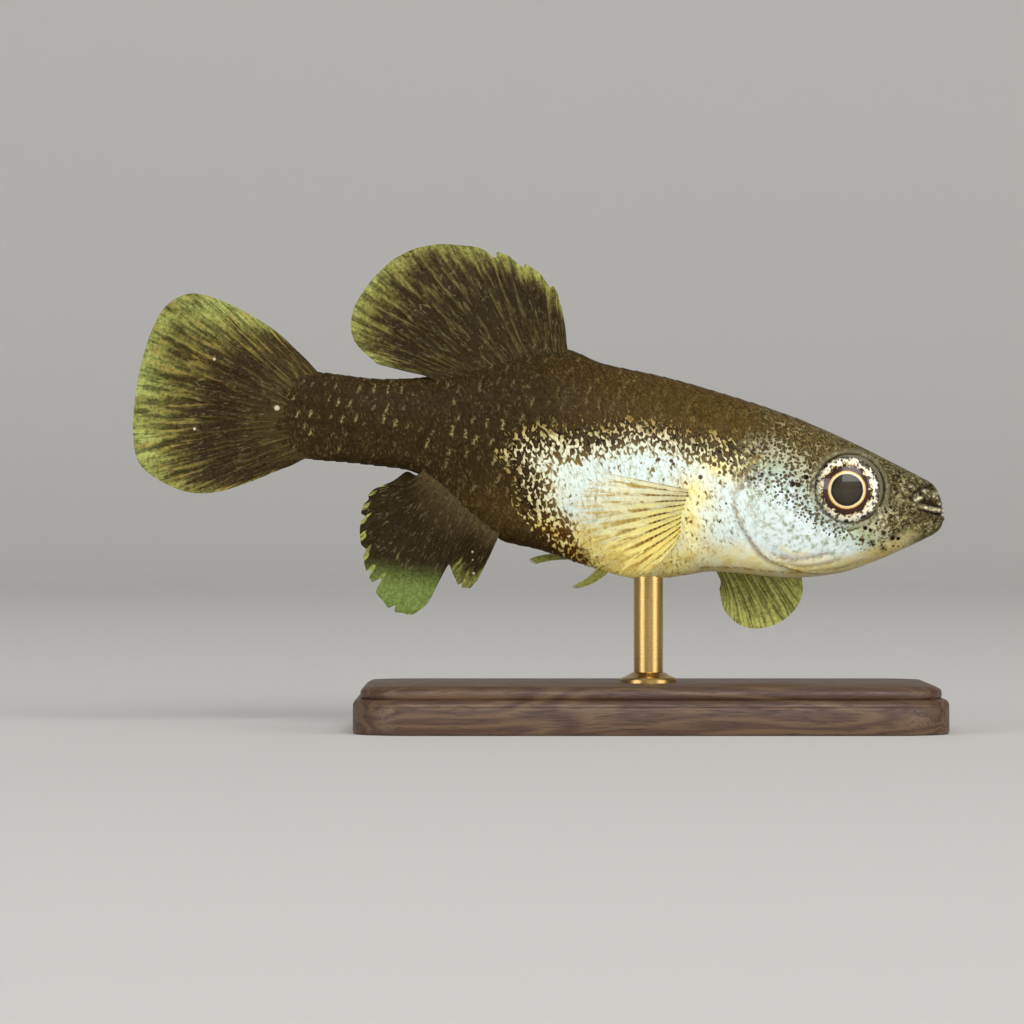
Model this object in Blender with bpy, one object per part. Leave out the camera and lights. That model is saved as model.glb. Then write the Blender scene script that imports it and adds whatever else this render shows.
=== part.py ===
"""A life-size still model of an adult male twoline skiffia, a small livebearing fish.

It swims with its head a little low, held over a flat base by one short rod. Shapes are worked out
in millimetres in the fish's own frame: s runs back from the tip of the snout, y to the fish's
left and z up. place() turns them to the model's frame, whose origin is the middle of the base's
underside, with +X ahead of the fish and +Z up.
"""

import math

import bmesh
import bpy
import numpy as np

# Pose and places, in degrees and millimetres
PITCH = 8.0  # the head is this much lower than the tail
SNOUT_X = 15.2  # the snout's tip ahead of the rod
SNOUT_HEIGHT = 11.2  # and above the floor
GAP = 0.3  # what touching pieces keep between them

# The body: distance behind the snout, back, belly, half width, level of the greatest width
STATIONS = (
    (0.00, -0.42, -0.42, 0.00, -0.42),
    (0.10, 0.14, -0.95, 0.50, -0.40),
    (0.30, 0.64, -1.20, 0.80, -0.36),
    (0.80, 1.30, -1.57, 1.20, -0.25),
    (1.60, 1.62, -2.10, 1.58, -0.15),
    (3.00, 2.11, -2.96, 2.00, -0.05),
    (5.10, 2.82, -4.00, 2.40, 0.00),
    (7.70, 3.55, -4.55, 2.65, -0.20),
    (11.0, 4.20, -4.72, 2.75, -0.40),
    (15.4, 4.82, -5.64, 2.68, -0.60),
    (18.5, 5.05, -5.22, 2.42, -0.40),
    (20.3, 5.50, -4.86, 2.15, -0.10),
    (22.0, 5.15, -4.72, 1.85, 0.10),
    (24.0, 4.45, -3.75, 1.50, 0.30),
    (26.0, 3.60, -2.40, 1.22, 0.45),
    (27.6, 3.02, -1.74, 1.06, 0.50),
    (30.5, 2.62, -1.80, 0.88, 0.45),
    (32.6, 2.60, -1.90, 0.74, 0.40),
    (35.2, 2.45, -1.80, 0.46, 0.40),
)
HEAD_FULLNESS = 0.84  # the section's power: 1 is an ellipse, less is boxier
TRUNK_FULLNESS = 0.96
FULLNESS_CHANGES = (3.0, 12.0)
BODY_SIDES = 36

# Seams between head, trunk and tail stalk, which bow back at mid height
HEAD_SEAM, HEAD_SEAM_BOW = 8.9, 0.7
STALK_SEAM, STALK_SEAM_BOW = 27.7, 0.0
STALK_END, STALK_END_BOW = 32.8, 1.8
HEAD_RINGS, TRUNK_RINGS, STALK_RINGS = 22, 20, 9

# The head's features
EYE_S, EYE_Z, EYE_RADIUS, EYE_DEPTH, EYE_OUT = 5.13, 0.42, 1.74, 0.80, 1.97
RIM_RADIUS, RIM_TUBE = 2.08, 0.21
UPPER_LIP_Z, LOWER_LIP_Z, LIP_END, LIP_TUBE = 0.20, -0.36, 1.75, 0.17
JAW_OUTLINE = ((-1.0, -0.22), (1.46, -0.18), (1.80, -0.85), (2.45, -1.70), (2.80, -4.0), (-1.0, -4.0))
LIP_GROOVE, GROOVE_TUBE = ((0.95, 1.20), (1.45, 0.98), (1.80, 0.66), (1.75, 0.34), (1.60, 0.10)), 0.11
NOSTRILS = ((2.05, 1.01, 0.20), (2.83, 1.36, 0.17))  # distance behind the snout, height, radius
GILL_CENTRE = (8.8, -1.1)
GILL_MARGIN = (
    (7.6, 1.5), (9.0, 1.75), (10.2, 0.95), (10.9, -0.5), (10.6, -1.8), (9.7, -2.95),
    (8.4, -3.7), (7.1, -3.85), (6.95, -3.0), (7.4, -1.8), (7.35, -0.2),
)
GILL_PROUD, GILL_THICK = 0.12, 0.58
CHEEK_RIDGE, RIDGE_TUBE = ((7.95, 0.9), (7.85, -0.1), (7.75, -1.2), (8.0, -2.1), (8.7, -2.6)), 0.16

# Fins: half thickness of the membrane, height of a ray above it, half thickness at the tips
MEMBRANE_HALF, RAY_HEIGHT, TIP_HALF = 0.25, 0.11, 0.12
ROOT_HALF = 0.34
MEDIAN_ROOT_GAP = 0.34
# Each key ray: where it leaves the back or the belly, then its tip as distance back and height
DORSAL_KEYS = (
    (20.3, 20.95, 7.75), (20.8, 21.45, 8.60), (21.4, 22.95, 9.55), (22.0, 24.5, 10.0),
    (22.7, 26.3, 10.1), (23.4, 28.1, 9.85), (24.2, 29.7, 8.95), (25.0, 30.9, 7.40),
    (25.7, 31.5, 5.80), (26.4, 31.2, 4.45), (27.2, 29.8, 3.42),
)
ANAL_KEYS = (
    (22.50, 23.10, -6.50), (22.75, 23.45, -7.25), (23.00, 24.10, -7.30), (23.25, 24.50, -6.75),
    (23.55, 24.90, -6.25), (23.90, 25.20, -7.25), (24.30, 25.60, -8.35), (24.70, 26.30, -9.05),
    (25.10, 27.40, -9.00), (25.50, 28.30, -8.20), (25.85, 29.00, -7.05), (26.20, 29.50, -5.50),
    (26.50, 29.62, -4.20), (26.75, 29.20, -3.00), (26.95, 27.90, -2.36),
)
# Tips of the tail fin's key rays, from the upper edge round to the lower one
CAUDAL_TIPS = (
    (33.9, 3.45), (35.3, 4.38), (36.9, 5.08), (38.5, 5.58), (39.9, 5.68), (41.0, 4.95),
    (41.6, 3.55), (41.9, 1.60), (41.95, -0.30), (41.8, -1.90), (41.3, -3.25), (40.2, -4.02),
    (38.6, -4.45), (37.1, -4.22), (35.6, -3.45), (34.3, -2.60),
)
DORSAL_RAYS, ANAL_RAYS, CAUDAL_RAYS, PECTORAL_RAYS, PELVIC_RAYS = 14, 15, 19, 13, 6
# Paired fins: the root's line on the body, as distance back and height, then the tips as
# distance back, distance out from the middle and height
PECTORAL_ROOT = ((13.15, -0.75), (13.35, -2.0), (13.25, -3.3))
RIGHT_PECTORAL_TIPS = (
    (17.9, 6.3, -0.50), (18.7, 6.7, -1.70), (19.0, 6.9, -3.00), (18.6, 6.8, -4.30),
    (17.6, 6.4, -5.20), (16.2, 5.7, -5.60), (15.0, 4.9, -5.50),
)
LEFT_PECTORAL_TIPS = (
    (6.70, 3.9, -4.10), (6.42, 4.1, -5.15), (6.70, 4.2, -6.15), (7.45, 4.3, -6.95),
    (8.50, 4.3, -7.38), (9.50, 4.2, -7.28), (10.35, 4.0, -6.62), (10.75, 3.8, -5.60),
)
PECTORAL_OUT = 1.3  # how far a ray runs straight out of the body before it turns
LEFT_PECTORAL_FORWARD = 2.2  # the left fin is drawn this much forward where it turns
PELVIC_S, PELVIC_OUT, PELVIC_ROOT = 16.9, 0.62, 0.8
RIGHT_PELVIC_TIPS = ((17.8, 2.7, -6.55), (18.2, 3.1, -6.60), (18.55, 3.2, -6.45))
LEFT_PELVIC_TIPS = ((20.0, 1.35, -6.05), (20.7, 1.45, -5.75), (20.9, 1.60, -5.40))

# The stand
BASE_LENGTH, BASE_WIDTH, BASE_HEIGHT = 30.0, 17.0, 2.4
BASE_CORNER, BASE_CHAMFER = 3.0, 0.5
ROD_RADIUS, ROD_SIDES, SOCKET_DEPTH = 0.75, 16, 1.3

PITCH_COS, PITCH_SIN = math.cos(math.radians(PITCH)), math.sin(math.radians(PITCH))
MM = 0.001


def clear_scene():
    for obj in list(bpy.data.objects):
        bpy.data.objects.remove(obj)


def make_material(name, colour, roughness, metallic=0.0):
    material = bpy.data.materials.new(name)
    material.use_nodes = True
    shader = material.node_tree.nodes["Principled BSDF"]
    shader.inputs["Base Color"].default_value = (*colour, 1.0)
    shader.inputs["Roughness"].default_value = roughness
    shader.inputs["Metallic"].default_value = metallic
    return material


def smooth_curve(xs, ys):
    """A function through the given points with no overshoot between them (monotone cubic)."""
    xs, ys = np.asarray(xs, float), np.asarray(ys, float)
    steps = np.diff(xs)
    slopes = np.diff(ys) / steps
    tangents = np.empty(len(xs))
    tangents[0], tangents[-1] = slopes[0], slopes[-1]
    for i in range(1, len(xs) - 1):
        before, after = slopes[i - 1], slopes[i]
        tangents[i] = 0.0 if before * after <= 0 else 2 * before * after / (before + after)

    def at(x):
        i = int(np.clip(np.searchsorted(xs, x) - 1, 0, len(steps) - 1))
        t = min(max((x - xs[i]) / steps[i], 0.0), 1.0)
        rise = (1 - t) ** 2 * (1 + 2 * t) * ys[i] + t * t * (3 - 2 * t) * ys[i + 1]
        return rise + steps[i] * t * (1 - t) * ((1 - t) * tangents[i] - t * tangents[i + 1])

    return at


# Near the blunt snout the outline grows like a square root, so the curves run on the root of s
ROOTS = [math.sqrt(row[0]) for row in STATIONS]
BACK, BELLY, HALF_WIDTH, MIDDLE = (
    smooth_curve(ROOTS, [row[column] for row in STATIONS]) for column in range(1, 5)
)


def section(s):
    """Back, belly, half width, level of the greatest width and fullness at distance s."""
    root = math.sqrt(max(s, 0.0))
    start, end = FULLNESS_CHANGES
    share = min(max((s - start) / (end - start), 0.0), 1.0)
    fullness = HEAD_FULLNESS + (TRUNK_FULLNESS - HEAD_FULLNESS) * share
    return BACK(root), BELLY(root), HALF_WIDTH(root), MIDDLE(root), fullness


def body_point(s, angle):
    """The skin at distance s, where angle runs from the back round by the fish's left side."""
    back, belly, half_width, middle, fullness = section(s)
    up, out = math.cos(angle), math.sin(angle)
    reach = back - middle if up > 0 else middle - belly
    z = middle + math.copysign(reach * abs(up) ** fullness, up)
    y = math.copysign(half_width * abs(out) ** fullness, out)
    return np.array((s, y, z))


def side_point(s, z, side, out=0.0):
    """The skin at distance s and height z, on the left (side 1) or right (-1), moved out."""

    def on_skin(s, z):
        back, belly, half_width, middle, fullness = section(s)
        reach = back - middle if z > middle else middle - belly
        share = min(abs(z - middle) / max(reach, 1e-6), 0.999)
        sine = math.sqrt(1 - share ** (2 / fullness))
        return np.array((s, side * half_width * sine**fullness, z))

    step = 0.02
    along = on_skin(s + step, z) - on_skin(s - step, z)
    upward = on_skin(s, z + step) - on_skin(s, z - step)
    normal = np.cross(along, upward)
    normal /= np.linalg.norm(normal)
    return on_skin(s, z) + normal * (out * math.copysign(1.0, normal[1] * side))


def place(point):
    """From the fish's frame to the model's frame, both in millimetres."""
    s, y, z = point
    return (
        SNOUT_X - s * PITCH_COS + z * PITCH_SIN,
        y,
        SNOUT_HEIGHT + s * PITCH_SIN + z * PITCH_COS,
    )


def link(name, mesh):
    obj = bpy.data.objects.new(name, mesh)
    bpy.context.scene.collection.objects.link(obj)
    return obj


def make_object(name, points, faces):
    """A mesh object, in millimetres and in the fish's frame, with its faces turned outwards."""
    mesh = bpy.data.meshes.new(name)
    mesh.from_pydata([tuple(p) for p in points], [], faces)
    shell = bmesh.new()
    shell.from_mesh(mesh)
    bmesh.ops.recalc_face_normals(shell, faces=shell.faces)
    if shell.calc_volume(signed=True) < 0:
        bmesh.ops.reverse_faces(shell, faces=shell.faces)
    shell.to_mesh(mesh)
    shell.free()
    return link(name, mesh)


def apply_modifiers(obj):
    graph = bpy.context.evaluated_depsgraph_get()
    mesh = bpy.data.meshes.new_from_object(obj.evaluated_get(graph))
    obj.modifiers.clear()
    obj.data = mesh


def join(obj, pieces):
    """Fuses closed pieces into obj by one union and removes them."""
    group = bpy.data.collections.new(obj.name + "_pieces")
    bpy.context.scene.collection.children.link(group)
    for piece in pieces:
        bpy.context.scene.collection.objects.unlink(piece)
        group.objects.link(piece)
    modifier = obj.modifiers.new("join", "BOOLEAN")
    modifier.operation = "UNION"
    modifier.operand_type = "COLLECTION"
    modifier.collection = group
    apply_modifiers(obj)
    for piece in pieces:
        bpy.data.objects.remove(piece)
    bpy.data.collections.remove(group)


def cut(obj, cutters, operation="DIFFERENCE"):
    """Takes each cutter's shape out of obj, or keeps only what lies inside it."""
    for cutter in cutters:
        modifier = obj.modifiers.new("cut", "BOOLEAN")
        modifier.operation = operation
        modifier.object = cutter
    apply_modifiers(obj)
    keep_largest(obj)


def keep_largest(obj):
    """Drops all but the largest closed surface."""
    shell = bmesh.new()
    shell.from_mesh(obj.data)
    left = set(shell.faces)
    parts = []
    while left:
        front = [left.pop()]
        part = list(front)
        while front:
            face = front.pop()
            for edge in face.edges:
                for other in edge.link_faces:
                    if other in left:
                        left.remove(other)
                        front.append(other)
                        part.append(other)
        parts.append(part)
    parts.sort(key=lambda part: sum(face.calc_area() for face in part))
    for part in parts[:-1]:
        bmesh.ops.delete(shell, geom=part, context="FACES")
    shell.to_mesh(obj.data)
    shell.free()


def finish(obj, material):
    """Turns a finished node to the model's frame and to metres, and gives it its material. As s
    runs backwards this mirrors the mesh, so its faces are turned round too."""
    mesh = obj.data
    for vertex in mesh.vertices:
        vertex.co = [value * MM for value in place(vertex.co)]
    mesh.flip_normals()
    mesh.materials.clear()
    mesh.materials.append(material)
    mesh.shade_smooth()
    mesh.set_sharp_from_angle(angle=math.radians(40))
    mesh.update()


def loft(name, rings, pole=None):
    """A closed solid through rings of points that match left and right. Its flat ends are strips
    from side to side, so that they follow a seam that bows; a pole closes the first end."""
    sides = len(rings[0])
    points = [p for ring in rings for p in ring]
    faces = []
    for i in range(len(rings) - 1):
        for j in range(sides):
            k = (j + 1) % sides
            faces.append((i * sides + j, i * sides + k, (i + 1) * sides + k, (i + 1) * sides + j))
    ends = [(len(rings) - 1) * sides]
    if pole is None:
        ends.append(0)
    else:
        points.append(pole)
        faces += [(len(points) - 1, j, (j + 1) % sides) for j in range(sides)]
    for first in ends:
        for j in range(sides // 2):
            left, right = (j, j + 1), ((sides - j) % sides, sides - j - 1)
            face = [first + left[0], first + left[1], first + right[1], first + right[0]]
            faces.append(tuple(dict.fromkeys(face)))
    return make_object(name, points, faces)


def body_length(name, start, end, count, spread, pole=None):
    """A length of the body between two seams, given as functions of the angle round it."""
    rings = []
    for i in range(count + 1):
        share = (i / count) ** spread
        ring = []
        for j in range(BODY_SIDES):
            angle = 2 * math.pi * j / BODY_SIDES
            s = start(angle) + (end(angle) - start(angle)) * share
            ring.append(body_point(s, angle))
        rings.append(ring)
    if pole is not None:
        rings = rings[1:]
    return loft(name, rings, pole)


def seam(s, bow):
    return lambda angle: s + bow * math.sin(angle) ** 2


def tube(name, path, radius, sides=8, closed=False):
    """A tube of round section along a path, with closed ends or joined to itself."""
    path = np.asarray(path, float)
    count = len(path)
    points, faces = [], []
    for i in range(count):
        before, after = path[(i - 1) % count], path[(i + 1) % count]
        if not closed:
            before, after = path[max(i - 1, 0)], path[min(i + 1, count - 1)]
        along = (after - before) / np.linalg.norm(after - before)
        across = np.cross(along, (0.0, 0.6, 0.8))
        if abs(along @ np.array((0.0, 0.6, 0.8))) > 0.9:
            across = np.cross(along, (0.0, 0.8, -0.6))
        across /= np.linalg.norm(across)
        other = np.cross(along, across)
        for j in range(sides):
            turn = 2 * math.pi * j / sides
            points.append(path[i] + radius * (across * math.cos(turn) + other * math.sin(turn)))
    for i in range(count if closed else count - 1):
        low, high = i * sides, (i + 1) % count * sides
        for j in range(sides):
            k = (j + 1) % sides
            faces.append((low + j, low + k, high + k, high + j))
    if not closed:
        faces += [tuple(range(sides)), tuple((count - 1) * sides + j for j in range(sides))]
    return make_object(name, points, faces)


def ellipsoid(name, centre, radii, segments=24, rings=12):
    """A ball with its poles at left and right."""
    mesh = bpy.data.meshes.new(name)
    ball = bmesh.new()
    bmesh.ops.create_uvsphere(ball, u_segments=segments, v_segments=rings, radius=1.0)
    for vertex in ball.verts:
        x, y, z = vertex.co
        vertex.co = (
            centre[0] + radii[0] * x,
            centre[1] + radii[1] * z,
            centre[2] - radii[2] * y,
        )
    bmesh.ops.recalc_face_normals(ball, faces=ball.faces)
    ball.to_mesh(mesh)
    ball.free()
    return link(name, mesh)


def prism(name, outline, half_width):
    """An outline in the plane of s and z, stretched to both sides."""
    count = len(outline)
    points = [(s, side * half_width, z) for side in (1, -1) for s, z in outline]
    faces = [tuple(range(count)), tuple(range(count, 2 * count))]
    faces += [(j, (j + 1) % count, count + (j + 1) % count, count + j) for j in range(count)]
    return make_object(name, points, faces)


def grow(outline, distance):
    """The outline with each edge moved outwards, its corners kept sharp."""
    points = np.asarray(outline, float)
    turning = sum(
        a[0] * b[1] - a[1] * b[0] for a, b in zip(points, np.roll(points, -1, axis=0))
    )
    grown = []
    for i, point in enumerate(points):
        before = point - points[i - 1]
        after = points[(i + 1) % len(points)] - point
        before, after = before / np.linalg.norm(before), after / np.linalg.norm(after)
        normals = [math.copysign(1, turning) * np.array((d[1], -d[0])) for d in (before, after)]
        middle = normals[0] + normals[1]
        grown.append(point + middle * distance / (middle @ normals[0]))
    return [tuple(point) for point in grown]


def closed_spline(points, count):
    """Points evenly along a smooth closed curve through the given ones (Catmull-Rom)."""
    points = np.asarray(points, float)
    found = []
    for i in range(count):
        where = i * len(points) / count
        k, t = int(where), where % 1.0
        a, b, c, d = (points[(k + offset) % len(points)] for offset in (-1, 0, 1, 2))
        found.append(
            0.5 * (2 * b + (c - a) * t + (2 * a - 5 * b + 4 * c - d) * t**2
                   + (3 * b - a - 3 * c + d) * t**3)
        )
    return found


def gill_plate(name, side, inner, outer, grown=0.0, around=36, rings=4):
    """A plate that follows the head's skin inside the gill cover's margin."""
    centre = np.array(GILL_CENTRE)
    margin = closed_spline(GILL_MARGIN, around)
    points, faces = [], []
    for depth in (inner, outer):
        points.append(side_point(*centre, side, depth))
        for ring in range(1, rings + 1):
            for edge in margin:
                reach = edge - centre
                reach = reach * (1 + grown / np.linalg.norm(reach)) * ring / rings
                points.append(side_point(*(centre + reach), side, depth))
    layer = 1 + rings * around
    for first in (0, layer):
        for j in range(around):
            k = (j + 1) % around
            faces.append((first, first + 1 + j, first + 1 + k))
            for ring in range(rings - 1):
                low, high = first + 1 + ring * around, first + 1 + (ring + 1) * around
                faces.append((low + j, low + k, high + k, high + j))
    rim = 1 + (rings - 1) * around
    for j in range(around):
        k = (j + 1) % around
        faces.append((rim + j, rim + k, layer + rim + k, layer + rim + j))
    return make_object(name, points, faces)


def spline(keys, share):
    """A point at share 0 to 1 along a smooth curve through the keys (Catmull-Rom)."""
    keys = np.asarray(keys, float)
    where = share * (len(keys) - 1)
    k = min(int(where), len(keys) - 2)
    t = where - k
    last = len(keys) - 1
    a, b, c, d = (keys[min(max(k + offset, 0), last)] for offset in (-1, 0, 1, 2))
    return 0.5 * (2 * b + (c - a) * t + (2 * a - 5 * b + 4 * c - d) * t**2
                  + (3 * b - a - 3 * c + d) * t**3)


def fin(name, ray, rays, rows, notch, root=None):
    """A fin of one closed body. ray(share) gives the start, the bend and the tip of the ray at
    that share of the fin; notch(share) is how far the web falls short between the rays' tips.
    The rays stand out of both faces as ridges. root(share) gives the two edges of a root that
    lies on the body; without it the root is a plain edge. Both faces get the same triangles."""
    steps = 3 * (rays - 1)
    middle = np.empty((steps + 1, rows + 1, 3))
    for i in range(steps + 1):
        share = i / steps
        start, bend, tip = ray(share)
        reach = 1.0 if i % 3 == 0 else 1.0 - notch(share)
        for j in range(rows + 1):
            t = reach * j / rows
            middle[i, j] = (1 - t) ** 2 * start + 2 * t * (1 - t) * bend + t * t * tip
    across = np.gradient(middle, axis=0)
    across /= np.linalg.norm(across, axis=2, keepdims=True)
    along = np.gradient(middle, axis=1)
    along /= np.linalg.norm(along, axis=2, keepdims=True)
    # Where the first ray runs along the fin's edge, the fin's mean direction decides
    normal = np.cross(across, along)
    normal += 0.3 * normal.mean(axis=(0, 1))
    normal /= np.linalg.norm(normal, axis=2, keepdims=True)
    points = []
    for face in (1, -1):
        for i in range(steps + 1):
            edges = None if root is None else root(i / steps)
            for j in range(rows + 1):
                taper = min(1.0, (rows - j) / (0.25 * rows))
                half = MEMBRANE_HALF + (RAY_HEIGHT if i % 3 == 0 else 0.0)
                half = TIP_HALF + (half - TIP_HALF) * taper
                half += (ROOT_HALF - MEMBRANE_HALF) * max(0.0, 1 - 4 * j / rows)
                point = middle[i, j] + face * half * normal[i, j]
                if edges is not None and j == 0:
                    point = max(edges, key=lambda edge: face * (edge @ normal[i, 1]))
                points.append(point)
    width, layer = rows + 1, (steps + 1) * (rows + 1)
    faces = []
    for i in range(steps):
        for j in range(rows):
            a, b = i * width + j, (i + 1) * width + j
            faces += [(a, b, b + 1), (a, b + 1, a + 1)]
            faces += [(layer + a, layer + b + 1, layer + b), (layer + a, layer + a + 1, layer + b + 1)]
    rim = [i * width for i in range(steps + 1)]
    rim += [steps * width + j for j in range(1, rows + 1)]
    rim += [i * width + rows for i in range(steps - 1, -1, -1)]
    rim += [j for j in range(rows - 1, 0, -1)]
    for a, b in zip(rim, rim[1:] + rim[:1]):
        faces += [(a, layer + b, b), (a, layer + a, layer + b)]
    return make_object(name, points, faces)


def median_ray(keys, edge, gap, sweep):
    """Key rays of a fin in the middle plane, whose tips lean by sweep to the fish's left."""

    def ray(share):
        s, tip_s, tip_z = spline(keys, share)
        start = np.array((s, 0.0, edge(math.sqrt(s)) + gap))
        tip = np.array((tip_s, sweep(share), tip_z))
        bend = start + 0.5 * (tip - start)
        bend[1] = 0.2 * sweep(share)
        return start, bend, tip

    return ray


def caudal_ray(share):
    """A ray of the tail fin, from the round end of the stalk."""
    angle = math.pi * (0.04 + 0.92 * share)
    end = seam(STALK_END, STALK_END_BOW)
    start = body_point(end(angle), angle)
    ahead, behind = (body_point(end(a), a) for a in (angle - 0.05, angle + 0.05))
    run = behind - ahead
    outward = np.array((-run[2], 0.0, run[0]))
    start = start + outward / np.linalg.norm(outward) * (GAP + 0.04)
    start[1] = 0.0
    tip_s, tip_z = spline(CAUDAL_TIPS, share)
    tip = np.array((tip_s, 0.45 * math.sin(1.6 * math.pi * share), tip_z))
    bend = start + 0.5 * (tip - start)
    bend[1] = 0.0
    return start, bend, tip


def pectoral(name, side, tips, forward=0.0):
    """A fin on the side of the trunk; its root is a pad on the skin, and it bends out of it."""

    def root(share):
        s, z = spline(PECTORAL_ROOT, share)
        return [side_point(s + step, z, side, GAP) for step in (-ROOT_HALF, ROOT_HALF)]

    def ray(share):
        s, z = spline(PECTORAL_ROOT, share)
        start = side_point(s, z, side, GAP)
        outward = side_point(s, z, side, GAP + 1.0) - start
        tip_s, tip_out, tip_z = spline(tips, share)
        tip = np.array((tip_s, side * tip_out, tip_z))
        bend = start + PECTORAL_OUT * outward + 0.22 * (tip - start)
        bend[0] -= forward
        return start, bend, tip

    return fin(name, ray, PECTORAL_RAYS, 7, lambda share: 0.012, root)


def pelvic(name, side, tips):
    """A small fin under the belly, beside the middle line."""

    def underside(s, out):
        _, belly, half_width, middle, fullness = section(s)
        share = out / half_width
        return middle - (middle - belly) * math.sqrt(1 - share ** (2 / fullness)) ** fullness

    def root_line(share):
        return PELVIC_S + PELVIC_ROOT * (share - 0.5), PELVIC_OUT + 0.25 * share

    def skin(s, out):
        return np.array((s, side * out, underside(s, out) - GAP - 0.03))

    def root(share):
        s, out = root_line(share)
        return [skin(s, out + step) for step in (-0.27, 0.27)]

    def ray(share):
        s, out = root_line(share)
        start = skin(s, out)
        tip_s, tip_out, tip_z = spline(tips, share)
        tip = np.array((tip_s, side * tip_out, tip_z))
        return start, start + np.array((0.1, 0.0, -0.55)) + 0.2 * (tip - start), tip

    return fin(name, ray, PELVIC_RAYS, 5, lambda share: 0.04, root)


def lip_path(level):
    """A line round the snout at one height, from the left corner of the mouth to the right."""
    front = next(
        s for s in np.linspace(0.002, 1.0, 500)
        if BELLY(math.sqrt(s)) < level < BACK(math.sqrt(s))
    )
    left = [side_point(front + (LIP_END - front) * u * u, level, 1, -0.05)
            for u in (1.0, 0.85, 0.7, 0.55, 0.42, 0.3, 0.2)]
    return left + [p * (1, -1, 1) for p in reversed(left)]


def whole_head():
    """Snout to shoulder, with the rims of the eye sockets and the lips fused on."""
    head = body_length(
        "head", lambda angle: 0.0, seam(HEAD_SEAM, HEAD_SEAM_BOW), HEAD_RINGS, 2.0,
        pole=np.array((0.0, 0.0, STATIONS[0][4])),
    )
    pieces = []
    for side in (1, -1):
        rim = []
        for i in range(28):
            turn = 2 * math.pi * i / 28
            s, z = EYE_S + RIM_RADIUS * math.cos(turn), EYE_Z + RIM_RADIUS * math.sin(turn)
            rim.append(side_point(s, z, side, -0.06))
        pieces.append(tube(f"rim_{side}", rim, RIM_TUBE, closed=True))
    for name, level in (("upper", UPPER_LIP_Z), ("lower", LOWER_LIP_Z)):
        pieces.append(tube(f"lip_{name}", lip_path(level), LIP_TUBE))
    join(head, pieces)
    keep_largest(head)
    return head


def eye_ball(name, side, grown=0.0):
    radii = (EYE_RADIUS + grown, EYE_DEPTH + grown, EYE_RADIUS + grown)
    return ellipsoid(name, (EYE_S, side * EYE_OUT, EYE_Z), radii)


def rounded_outline(length, width, radius, inset, steps=6):
    """Corners of a flat plate with round corners, moved in by the inset."""
    outline = []
    for corner, (x_sign, y_sign) in enumerate(((1, 1), (-1, 1), (-1, -1), (1, -1))):
        for i in range(steps + 1):
            turn = math.pi / 2 * (corner + i / steps)
            x = x_sign * (length / 2 - radius) + (radius - inset) * math.cos(turn)
            y = y_sign * (width / 2 - radius) + (radius - inset) * math.sin(turn)
            outline.append((x, y))
    return outline


def stand_base():
    """A flat plate with round corners, a chamfer round its top and a socket for the rod. Its
    points are in the model's frame."""
    levels = ((0.0, 0.0), (BASE_HEIGHT - BASE_CHAMFER, 0.0), (BASE_HEIGHT, BASE_CHAMFER))
    outlines = [
        [(x, y, z) for x, y in rounded_outline(BASE_LENGTH, BASE_WIDTH, BASE_CORNER, inset)]
        for z, inset in levels
    ]
    count = len(outlines[0])
    points = [p for outline in outlines for p in outline]
    faces = [tuple(range(count)), tuple(range(2 * count, 3 * count))]
    for i in range(2):
        for j in range(count):
            k = (j + 1) % count
            faces.append((i * count + j, i * count + k, (i + 1) * count + k, (i + 1) * count + j))
    base = make_object("stand_base", points, faces)
    floor, mouth = BASE_HEIGHT - SOCKET_DEPTH, BASE_HEIGHT + 1.0
    socket = turned("socket", [(floor, ROD_RADIUS + GAP), (mouth, ROD_RADIUS + GAP)])
    cut(base, [socket])
    bpy.data.objects.remove(socket)
    return base


def turned(name, profile, top=None):
    """A round piece on the rod's axis from heights and radii; top gives its upper face's height
    at each place, if it isn't flat."""
    points, faces = [(0.0, 0.0, profile[0][0])], []
    rings = list(profile)
    if top is not None:
        rings += [(None, profile[-1][1]), (None, profile[-1][1] / 2)]
    for height, radius in rings:
        for j in range(ROD_SIDES):
            turn = 2 * math.pi * j / ROD_SIDES
            x, y = radius * math.cos(turn), radius * math.sin(turn)
            points.append((x, y, top(x, y) if height is None else height))
    points.append((0.0, 0.0, top(0.0, 0.0) if top is not None else profile[-1][0]))
    last = len(points) - 1
    for j in range(ROD_SIDES):
        k = (j + 1) % ROD_SIDES
        faces.append((0, 1 + j, 1 + k))
        for i in range(len(rings) - 1):
            low, high = 1 + i * ROD_SIDES, 1 + (i + 1) * ROD_SIDES
            faces.append((low + j, low + k, high + k, high + j))
        low = 1 + (len(rings) - 1) * ROD_SIDES
        faces.append((last, low + j, low + k))
    return make_object(name, points, faces)


def belly_height(x, y):
    """The height above the floor of the belly's skin over a place on the base, less the gap."""
    height = SNOUT_HEIGHT - 5.0
    for _ in range(12):
        ahead, above = x - SNOUT_X, height - SNOUT_HEIGHT
        s = -ahead * PITCH_COS + above * PITCH_SIN
        _, belly, half_width, middle, fullness = section(s)
        share = min(abs(y) / half_width, 0.99)
        z = middle - (middle - belly) * math.sqrt(1 - share ** (2 / fullness)) ** fullness
        height = SNOUT_HEIGHT + s * PITCH_SIN + z * PITCH_COS
    return height - GAP


def stand_rod():
    """A plain rod from the base's socket up to the belly, its top hollowed to the skin."""
    foot = BASE_HEIGHT - SOCKET_DEPTH + GAP
    return turned("stand_rod", [(foot, ROD_RADIUS)], top=belly_height)


def finish_stand(obj, material):
    obj.data.transform(((MM, 0, 0, 0), (0, MM, 0, 0), (0, 0, MM, 0), (0, 0, 0, 1)))
    obj.data.materials.append(material)
    obj.data.shade_smooth()
    obj.data.set_sharp_from_angle(angle=math.radians(30))


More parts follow.
